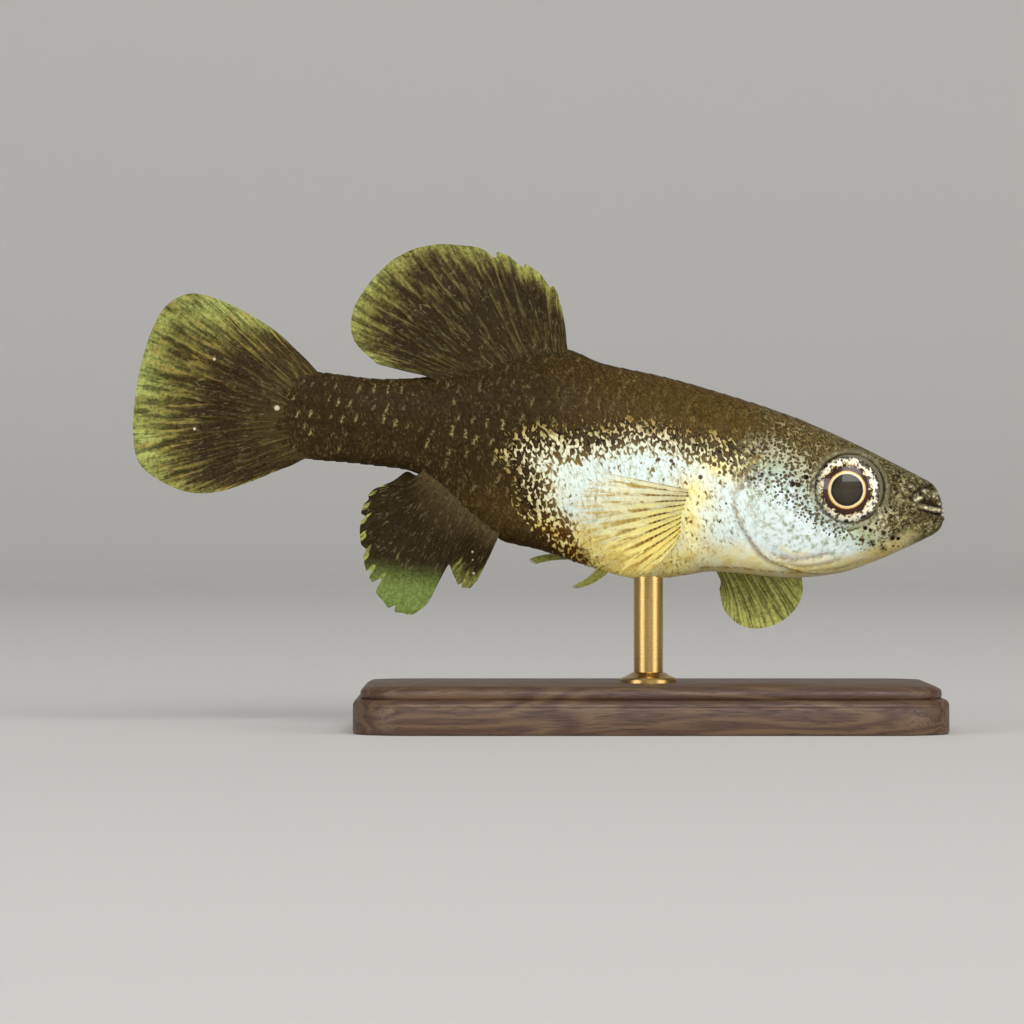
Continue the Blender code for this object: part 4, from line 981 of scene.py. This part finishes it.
def arc_tables(count=240, steps=721):
    """For distances along the body, the angle round it at each length of skin up from the side's
    middle line, and the lengths from there to the back and to the belly."""
    s = np.linspace(4.0, SKIN_END + SKIN_END_BOW, count)

    def arc(end):
        angles = np.linspace(math.pi / 2, end, steps)
        steps_round = np.diff(body_point(s[:, None], angles[None, :]), axis=1)
        lengths = np.cumsum(np.linalg.norm(steps_round, axis=2), axis=1)
        return angles, np.concatenate([np.zeros((count, 1)), lengths], axis=1)

    (up_angles, up), (down_angles, down) = arc(-math.pi / 2), arc(3 * math.pi / 2)
    lengths = np.concatenate([-down[:, :0:-1], up], axis=1)
    turned = np.concatenate([down_angles[:0:-1], up_angles])
    return s, lengths, turned, up[:, steps // 2], down[:, steps // 2]


def angle_at(tables, s, v):
    """The angle round the body at a length v of skin up from the side's middle line."""
    rows, lengths, turned, _, _ = tables
    where = np.clip((s - rows[0]) / (rows[1] - rows[0]), 0, len(rows) - 1.001)
    low = where.astype(int)
    found = np.zeros(len(s))
    for row in np.unique(low):
        here = low == row
        a, b = (np.interp(v[here], lengths[row + k], turned) for k in (0, 1))
        found[here] = a + (b - a) * (where - low)[here]
    return found


def scale_roots(tables):
    """Where each scale is rooted on one side: distance behind the snout, length of skin up from
    the middle line, and size. Rows are offset by half a step as bricks are."""
    rows, _, _, up, down = tables
    found = []
    for row in range(-SCALE_ROWS, SCALE_ROWS + 1):
        v = row * SCALE_ROW
        s = SCALES_FIRST + (0.5 * SCALE_STEP if row % 2 else 0.0)
        while s < SCALES_END:
            size = float(1 - 0.3 * smoothstep(s, 27.0, 34.5) - 0.12 * (1 - smoothstep(s, 8.0, 11.0)))
            high, low = np.interp(s, rows, up), np.interp(s, rows, down)
            if -low - 0.3 * SCALE_ROW < v < high + 0.3 * SCALE_ROW:
                found.append((s, v, size))
            s += SCALE_STEP * size
    found = np.array(found)
    s = found[:, 0]
    z = body_point(s, angle_at(tables, s, found[:, 1]))[:, 2]
    start_s, start_z = np.transpose(SCALES_START)
    return found[(s > np.interp(-z, -start_z, start_s)) & (s < SCALES_END - 0.03 * (z - 0.3) ** 2)]


def make_scales(material):
    """The coat of scales on both sides, laid flat by Geometry Nodes and wrapped on the body."""
    tables = arc_tables()
    roots = scale_roots(tables)
    lift = 100.0  # keeps the two sides apart on the flat sheet
    both = np.vstack([roots, roots])
    flat = both * (1.0, 1.0, 0.0)
    flat[:, 1] += np.repeat((lift, -lift), len(roots))
    sheet = link("scale_roots", bpy.data.meshes.new("scale_roots"))
    sheet.data.from_pydata(flat.tolist(), [], [])
    for column, word in ((2, "size"), (0, "root_s"), (1, "root_v")):
        mark(sheet, word, both[:, column])
    one = plate()
    modifier = sheet.modifiers.new("scales", "NODES")
    modifier.node_group = scale_tree(material)
    sockets = modifier.node_group.interface.items_tree
    modifier[next(socket for socket in sockets if socket.name == "Plate").identifier] = one
    graph = bpy.context.evaluated_depsgraph_get()
    mesh = bpy.data.meshes.new_from_object(sheet.evaluated_get(graph))
    mesh.name = "scales"
    sheet.modifiers.clear()
    for spent in (sheet, one):
        bpy.data.objects.remove(spent)
    scales = link("scales", mesh)

    def stored(word, field="value", size=1):
        values = np.empty(len(mesh.vertices) * size)
        mesh.attributes[word].data.foreach_get(field, values)
        return values.reshape(-1, size) if size > 1 else values

    flat, lie = (stored(word, "vector", 3) for word in ("position", "lie"))
    root_s, root_v = stored("root_s"), stored("root_v")
    side = np.where(flat[:, 1] > 0, 1.0, -1.0)
    s, v = flat[:, 0], flat[:, 1] - side * lift
    angle = angle_at(tables, s, v)
    s = np.minimum(s, SKIN_END + SKIN_END_BOW * np.sin(angle) ** 2)
    height = flat[:, 2] + SCALE_TILT * lie[:, 0] - 0.005
    wrapped = body_point(s, angle) + body_normal(s, angle) * height[:, None]
    wrapped[:, 1] *= side
    mesh.vertices.foreach_set("co", (place(wrapped) * MM).ravel())
    marks = zones(s, wrapped[:, 2])
    marks.update({word: 0 * s for word in ("stain", "seam", "pale", "rim")})
    marks["streaky"] = np.clip(0.30 + 0.75 * hump(root_v, 1.7) * smoothstep(root_s, 17, 23), 0, 1)
    for word, values in marks.items():
        mark(scales, word, values)

    # The right side is a mirror image of the left, so its faces are turned
    first = np.empty(len(mesh.polygons), np.int32)
    mesh.polygons.foreach_get("loop_start", first)
    shell = bmesh.new()
    shell.from_mesh(mesh)
    shell.faces.ensure_lookup_table()
    turned = np.flatnonzero(side[corner_points(scales)[first]] < 0)
    bmesh.ops.reverse_faces(shell, faces=[shell.faces[i] for i in turned])
    shell.to_mesh(mesh)
    shell.free()
    mesh.update()
    mesh.shade_smooth()
    mesh.set_sharp_from_angle(angle=math.radians(60.0))

    # Each scale is one patch at its root's place on the skin, unrolled
    share = np.stack([root_s / 36.0, np.where(side > 0, 0.25, 0.75) + 0.03 * root_v], axis=-1)
    map_for_bake(scales, (share + BAKE_PATCH * lie[:, :2])[corner_points(scales)])
    return scales


def ray_ridge(phase, t):
    """How much a place lies on a ray, which forks once and, nearer the tip, again."""
    away = np.abs(phase - np.round(phase))
    first = 0.235 * smoothstep(t, FORK, 1.0)
    second = 0.105 * smoothstep(t, FORK_AGAIN, 1.0)
    width = 0.17 - 0.075 * smoothstep(t, FORK, 1.0)
    return hump(np.abs(np.abs(away - first) - second), width)


def nick(share, nicks):
    """How far nicks cut into a fin's edge: each is steep in front and shallow behind."""
    depth = np.zeros(np.shape(share))
    for start, width, deep in nicks:
        x = (share - start) / width
        depth += deep * smoothstep(x, 0.0, 0.25) * (1 - smoothstep(x, 0.3, 1.0))
    return depth


def make_fin(name, ray, rays, pigment, material, slot="olive_fin", rows=60, steps=RAY_STEPS,
             scallop=0.0, nicks=(), wave=0.0, root_depth=ROOT_DEPTH, flare=ROOT_FLARE):
    """A fin as a closed sheet whose two faces meet along its edge. The rays stand up as ridges,
    and the root is fleshy and goes into the body. pigment gives the marks at each place."""
    count = steps * (rays - 1)
    share = np.linspace(0, 1, count + 1)
    start, bend, tip = (points[:, None] for points in ray(share))
    phase = share * (rays - 1)
    between = np.abs(phase - np.round(phase)) * 2
    reach = 0.998 - scallop * between**2 - nick(share, nicks)
    t = np.linspace(0, 1, rows + 1)[None, :] * reach[:, None]
    t3 = t[..., None]
    blade = (1 - t3) ** 2 * start + 2 * t3 * (1 - t3) * bend + t3**2 * tip
    depth = root_depth * np.linspace(1, 0, ROOT_ROWS, endpoint=False)
    root = start + unit(start - bend) * depth[None, :, None]
    middle = np.concatenate([root, blade], axis=1)
    t = np.concatenate([np.zeros((count + 1, ROOT_ROWS)), t], axis=1)

    along = np.gradient(middle, axis=1)
    length = np.linalg.norm(along, axis=2).cumsum(axis=1) - root_depth
    normal = np.cross(unit(np.gradient(middle, axis=0)), unit(along))
    normal = unit(normal + 0.3 * normal.mean(axis=(0, 1)))
    middle = middle + normal * (wave * t**2 * np.sin(2 * math.pi * 1.7 * share + 0.6)[:, None])[..., None]

    phase = np.broadcast_to(phase[:, None], t.shape)
    ridge = ray_ridge(phase, t)
    to_edge = np.max(length, axis=1, keepdims=True) - length
    half = WEB_HALF * (1 - 0.4 * t) + RAY_HEIGHT * ridge * (1 - 0.55 * t)
    half = half + flare * hump(np.maximum(length, 0.0), ROOT_REACH)
    half = half * smoothstep(to_edge, -0.12, 0.25)
    upper, lower = middle + normal * half[..., None], middle - normal * half[..., None]

    columns = middle.shape[1]
    index = np.arange((count + 1) * columns).reshape(count + 1, columns)
    inner = np.zeros(index.shape, bool)
    inner[1:-1, 1:-1] = True
    upper[~inner] = middle[~inner]
    under = index.copy()
    under[inner] = index.size + np.arange(inner.sum())
    quads = []
    for grid, order in ((index, 1), (under, -1)):
        corners = [grid[:-1, :-1], grid[1:, :-1], grid[1:, 1:], grid[:-1, 1:]][::order]
        quads.append(np.stack(corners, axis=-1).reshape(-1, 4))
    fin = solid(name + "_web", np.vstack([upper.reshape(-1, 3), lower[inner]]), np.vstack(quads))

    at = {"s": middle[..., 0], "z": middle[..., 2], "t": t, "edge": to_edge, "share": phase / (rays - 1)}
    web = np.stack([phase, length, 0 * length], axis=-1)
    marks = {"ridge": ridge, "along": t, "length": length, "web": web, **pigment(at)}
    for word, values in marks.items():
        on_top = values.reshape(index.size, *values.shape[2:])
        mark(fin, word, np.concatenate([on_top, values[inner]]))
    i, j = np.meshgrid(np.arange(count + 1), np.arange(columns), indexing="ij")
    flat = np.stack([0.01 + 0.48 * i / count, 0.01 + 0.98 * j / (columns - 1)], axis=-1)
    places = np.vstack([flat.reshape(-1, 2), flat[inner] + (0.5, 0.0)])
    corners = places[corner_points(fin)]
    below = corners[4 * len(quads[0]):]
    below[:, 0] += np.where(below[:, 0] < 0.5, 0.5, 0.0)
    map_for_bake(fin, corners)
    dress(fin, material, slot, name)


def median_ray(keys, edge, sweep):
    """Key rays of a fin in the middle plane, whose tips lean by sweep to the fish's left."""

    def ray(share):
        s, tip_s, tip_z = spline(keys, share).T
        start = np.stack([s, 0 * s, edge(np.sqrt(s))], axis=-1)
        tip = np.stack([tip_s, sweep(share), tip_z], axis=-1)
        bend = start + 0.5 * (tip - start)
        bend[:, 1] = 0.2 * sweep(share)
        return start, bend, tip

    return ray


def caudal_ray(share):
    """A ray of the tail fin, from the round end of the stalk."""
    angle = math.pi * (0.04 + 0.92 * share)

    def stalk(turn):
        return body_point(STALK_END + STALK_END_BOW * np.sin(turn) ** 2, turn)

    run = stalk(angle + 0.05) - stalk(angle - 0.05)
    start = stalk(angle) + unit(np.stack([-run[:, 2], 0 * share, run[:, 0]], axis=-1)) * 0.05
    start[:, 1] = 0.0
    tip_s, tip_z = spline(CAUDAL_TIPS, share).T
    tip = np.stack([tip_s, 0.45 * np.sin(1.6 * math.pi * share), tip_z], axis=-1)
    bend = start + 0.5 * (tip - start)
    bend[:, 1] = 0.0
    return start, bend, tip


def pectoral_ray(side, tips, forward=0.0, back=0.0):
    """Rays of a fin on the side of the trunk, which run straight out before they bend."""

    def ray(share):
        s, z = (spline(PECTORAL_ROOT, share) + (back, 0.0)).T
        start, further = (side_point(s, z, side, out) for out in (0.12, 1.12))
        tip = spline(tips, share) * (1, side, 1)
        bend = start + PECTORAL_OUT * (further - start) + 0.22 * (tip - start)
        bend[:, 0] -= forward
        return start, bend, tip

    return ray


def pelvic_ray(side, tips, turn):
    """Rays of a small fin under the belly, beside the middle line, that bend by the turn."""

    def ray(share):
        s, out = PELVIC_S + PELVIC_ROOT * (share - 0.5), PELVIC_OUT + 0.25 * share
        start = np.stack([s, side * out, under_side(s, out)], axis=-1)
        tip = spline(tips, share) * (1, side, 1)
        return start, start + np.array(turn) + 0.2 * (tip - start), tip

    return ray


def caudal_pigment(at):
    """Pale towards the rear edge, from further in along the upper rays."""
    lower = smoothstep(at["share"], 0.62, 0.85)
    upper = 1 - smoothstep(at["share"], 0.22, 0.42)
    start, full = 0.42 - 0.34 * upper + 0.32 * lower, 0.95 - 0.2 * upper + 0.12 * lower
    pale = 0.04 + 0.88 * np.clip((at["t"] - start) / (full - start), 0, 1)
    pale += 0.30 * upper * (1 - smoothstep(at["t"], 0.05, 0.5))
    pale *= 1 - 0.55 * (1 - smoothstep(at["s"], 34.4, 36.6)) * upper
    return {"margin": pale, "special": 0 * pale}


def dorsal_pigment(at):
    """A pale edge, wider at the rear."""
    reach = 2.3 + 1.5 * smoothstep(at["share"], 0.25, 0.75)
    pale = 0.12 + 0.86 * (1 - smoothstep(at["edge"] / reach, -0.2, 1.0)) ** 1.2
    return {"margin": pale, "special": 0 * pale}


def anal_pigment(at):
    """Pale ticks along the rear edge, a paler edge to the short front lobe, and a green patch."""
    beat = (at["share"] - 0.655) / 0.30 * 7
    ticks = 1 - smoothstep(np.abs(beat - np.round(beat)), 0.18, 0.30)
    ticks *= 1 - smoothstep(at["edge"], 0.3, 0.5)
    ticks *= smoothstep(at["share"], 0.64, 0.65) * (1 - smoothstep(at["share"], 0.95, 0.97))
    lobe = (1 - smoothstep(at["share"], 0.22, 0.28)) * (1 - smoothstep(at["edge"], 0.2, 1.6))
    green_patch = smoothstep(-at["z"], 6.2, 8.0) * smoothstep(at["share"], 0.36, 0.42)
    return {"margin": np.maximum(1.1 * ticks, 0.85 * lobe), "special": green_patch}


def gold_pigment(at):
    """Deeper from the top ray down, apart from the lowest rays, which are paler: partly their own
    colour, partly painted light where the fin faces down.
    """
    lowest = smoothstep(at["share"], 0.8, 1.0)
    return {"margin": 0.78 * smoothstep(at["share"], 0.1, 0.9) - 0.4 * lowest}


def even_pigment(root, more, at):
    """A little paler from the root to the tip."""
    return {"margin": root + more * at["t"], "special": 0 * at["t"]}


def make_fins():
    olive = web_finish(
        "olive_fin_web_on_bony_rays", "#30250f #3b2f17 #4f4421 #6c6631 #8c8f4a #a5af60",
        "#463a1e", "#a8924c", "#20170b",
        spots=((34.63, 0.46, 0.14), (38.17, 2.5, 0.08), (38.67, -1.18, 0.08)),
    )
    dark = web_finish(
        "dark_olive_fin_web_on_bony_rays", "#33280f #322712 #43371a #655d2d #878643 #a6ab5d",
        "#392d16", "#938c4c", "#281e0e",
    )
    brown = web_finish(
        "dark_brown_fin_web_on_bony_rays", "#2f2611 #2b210f #362b15 #5f5c2d #898c48 #a9ae5c",
        "#54452a", "#5c5030", "#1c150b",
        spots=((23.69, -5.44, 0.06), (23.62, -5.85, 0.04), (23.48, -6.52, 0.06)),
    )
    green = web_finish(
        "olive_green_fin_web_on_pale_rays", "#7a7236 #8b863f #a09d4e #bab962 #cccf70 #d8dd7d",
        "#a09950", "#dde085", "#2b2212", gaps=(0.5, 0.7),
    )
    make_fin("caudal_fin", caudal_ray, CAUDAL_RAYS, caudal_pigment, olive, rows=64, wave=0.12,
             root_depth=0.6, flare=0.10)
    ray = median_ray(DORSAL_KEYS, BACK, lambda share: 0.5 * np.sin(1.3 * math.pi * share))
    make_fin("dorsal_fin", ray, DORSAL_RAYS, dorsal_pigment, dark, scallop=0.003,
             nicks=DORSAL_NICKS, wave=0.1)
    ray = median_ray(ANAL_KEYS, BELLY, lambda share: -0.35 * share)
    make_fin("anal_fin", ray, ANAL_RAYS, anal_pigment, brown, scallop=0.012, nicks=ANAL_NICKS,
             wave=0.08)
    pectoral = {"rows": 48, "steps": 14, "root_depth": 0.7, "flare": 0.12}
    ray = pectoral_ray(1, LEFT_PECTORAL_TIPS, LEFT_PECTORAL_FORWARD)
    make_fin("pectoral_fin_left", ray, PECTORAL_RAYS, partial(even_pigment, 0.66, 0.2), green, **pectoral)
    ray = pectoral_ray(-1, RIGHT_PECTORAL_TIPS, back=0.3)
    make_fin("pectoral_fin_right", ray, PECTORAL_RAYS, gold_pigment, gold_web_finish(), "gold_fin",
             scallop=0.012, **pectoral)
    for word, side, tips, turn in (
        ("left", 1, LEFT_PELVIC_TIPS, (1.2, 0.85, 0.75)), ("right", -1, RIGHT_PELVIC_TIPS, (0.1, 0.0, -0.5)),
    ):
        make_fin(f"pelvic_fin_{word}", pelvic_ray(side, tips, turn), PELVIC_RAYS,
                 partial(even_pigment, 0.6, 0.3), green, rows=30, steps=10, scallop=0.12,
                 root_depth=0.5, flare=0.10)


def make_eyes():
    """Each eye is a shallow dome, with its poles to the left and the right."""
    finish = eye_finish()
    sides, rings = 96, 40
    lean = math.pi * np.arange(1, rings)[:, None] / rings
    turn = 2 * math.pi * np.arange(sides)[None, :] / sides
    ball = np.broadcast_arrays(np.sin(lean) * np.cos(turn), np.cos(lean), np.sin(lean) * np.sin(turn))
    ball = np.vstack([np.stack(ball, axis=-1).reshape(-1, 3), [[0, 1, 0], [0, -1, 0]]])
    last, low = (rings - 1) * sides, (rings - 2) * sides
    poles = [(last, (j + 1) % sides, j) for j in range(sides)]
    poles += [(last + 1, low + j, low + (j + 1) % sides) for j in range(sides)]
    for word, side in (("left", 1), ("right", -1)):
        points = np.array((EYE_S, side * EYE_OUT, EYE_Z)) + ball * (EYE_RADIUS, EYE_DEPTH, EYE_RADIUS)
        eye = solid(f"eye_{word}_cornea", points, ring_faces(rings - 1, sides), poles, sharp=180.0)
        dress(eye, finish, "eye", f"eye_{word}")


def rounded_outline(length, width, radius, inset, steps=12):
    """Corners of a flat plate with round corners, moved in by the inset."""
    outline = []
    for corner, (x_sign, y_sign) in enumerate(((1, 1), (-1, 1), (-1, -1), (1, -1))):
        for i in range(steps + 1):
            turn = math.pi / 2 * (corner + i / steps)
            x = x_sign * (length / 2 - radius) + (radius - inset) * math.cos(turn)
            y = y_sign * (width / 2 - radius) + (radius - inset) * math.sin(turn)
            outline.append((x, y))
    return outline


def belly_height(x, y):
    """The height of the tilted fish's belly over places on the stand, found by closing in on it."""
    height = np.full(np.shape(x), SNOUT_HEIGHT - 5.0)
    for _ in range(14):
        s = -(x - SNOUT_X) * PITCH_COS + (height - SNOUT_HEIGHT) * PITCH_SIN
        height = SNOUT_HEIGHT + s * PITCH_SIN + under_side(s, np.abs(y), 0.99) * PITCH_COS
    return height + 0.08


def make_stand():
    """A wooden base with a cove and a bead worked round its top edge, and a brass rod in a
    collar that meets the belly."""
    bead = [(2.02 + 0.26 * math.sin(a), 0.52 - 0.14 * math.cos(a)) for a in np.linspace(-1.2, 1.2, 9)]
    cove = [(1.42 + 0.34 * math.sin(a), 0.34 * (1 - math.cos(a))) for a in np.linspace(0.0, 1.35, 9)]
    levels = [(0.0, 0.12), (0.06, 0.03), (0.14, 0.0), (1.30, 0.0), (1.38, 0.02), *cove, *bead,
              (BASE_HEIGHT - 0.06, 0.62), (BASE_HEIGHT, 0.72)]
    base = stacked("stand_base_wood", [
        [(x, y, z) for x, y in rounded_outline(BASE_LENGTH, BASE_WIDTH, BASE_CORNER, inset)]
        for z, inset in levels
    ])
    dress(base, wood_finish(), "stand_wood", "stand_base")

    r, collar, base_top, top = ROD_RADIUS, COLLAR_RADIUS, BASE_HEIGHT, BASE_HEIGHT + COLLAR_HEIGHT
    turns = 2 * math.pi * np.arange(64) / 64
    rings = []
    # Where the height is None the ring is cut to the belly
    for height, radius in (
        (1.4, r), (base_top - 0.05, r), (base_top - 0.05, collar), (base_top + 0.18, collar),
        (base_top + 0.26, collar - 0.06), (base_top + 0.30, collar - 0.2), (top - 0.12, r + 0.25),
        (top - 0.03, r + 0.12), (top, r), (None, r), (None, 0.5 * r), (None, 0.05 * r),
    ):
        x, y = radius * np.cos(turns), radius * np.sin(turns)
        rings.append(np.stack([x, y, belly_height(x, y) if height is None else 0 * x + height], axis=-1))
    dress(stacked("stand_rod_brass", rings), brass_finish(), "stand_metal", "stand_rod")


def make_stage():
    """A pale floor that sweeps up behind, soft lamps, and the camera at the photograph's view."""
    width, near, back, height, curve = 6.0, -3.0, 1.00, 1.6, 0.45
    profile = [(near, 0.0)]
    for i in range(25):
        turn = math.pi / 2 * i / 24
        profile.append((back - curve + curve * math.sin(turn), curve * (1 - math.cos(turn))))
    profile.append((back, height))
    mesh = bpy.data.meshes.new("floor_sweep")
    points = [(x, y, z) for y, z in profile for x in (-width / 2, width / 2)]
    faces = [(2 * i, 2 * i + 1, 2 * i + 3, 2 * i + 2) for i in range(len(profile) - 1)]
    mesh.from_pydata(points, [], faces)
    mesh.shade_smooth()
    material, _, _ = new_finish("pale_paper_backdrop", Base_Color=rgb("#dcdad6"), Roughness=0.9)
    mesh.materials.append(material)
    link("floor_sweep", mesh)

    for name, where, size, watts in (
        ("key", (0.12, -0.90, 0.50), 0.60, 6.6), ("left", (-0.85, -0.70, 0.10), 0.60, 5.8),
        ("right", (0.85, -0.66, 0.10), 0.60, 5.8), ("top", (0.0, 0.05, 1.00), 0.70, 1.4),
    ):
        data = bpy.data.lights.new(name, "AREA")
        data.size, data.energy = size, watts
        lamp = link(name, data)
        lamp.location = where
        lamp.rotation_mode = "QUATERNION"
        lamp.rotation_quaternion = (Vector((0.0, 0.0, 0.011)) - Vector(where)).to_track_quat("-Z", "Y")
    world = bpy.data.worlds.new("studio")
    world.use_nodes = True
    background = world.node_tree.nodes["Background"].inputs
    background["Color"].default_value = (1, 1, 1, 1)
    background["Strength"].default_value = 0.2
    bpy.context.scene.world = world
    bpy.context.scene.view_settings.view_transform = "Standard"

    data = bpy.data.cameras.new("camera")
    data.lens, data.sensor_width = LENS, SENSOR
    data.clip_start, data.clip_end = 0.01, 10.0
    camera = link("camera", data)
    x = SNOUT_X - (SNOUT_PIXEL[0] - IMAGE_PIXELS / 2) * PIXEL
    z = SNOUT_HEIGHT + (SNOUT_PIXEL[1] - IMAGE_PIXELS / 2) * PIXEL
    camera.location = (x * MM, -IMAGE_PIXELS * PIXEL * LENS / SENSOR * MM, z * MM)
    camera.rotation_euler = (math.pi / 2, 0.0, 0.0)
    bpy.context.scene.camera = camera


def main():
    make_stage()
    skin = make_skin()
    dress(
        skin, skin_finish("wet_skin_of_the_head_and_body", False), "skin",
        "head", "lower_jaw", "gill_cover_left", "gill_cover_right", "trunk", "tail_stalk",
    )
    scale_material = skin_finish("wet_skin_over_thin_round_scales", True)
    scales = make_scales(scale_material)
    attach(scales, "root")
    make_fins()
    make_eyes()
    make_stand()


main()
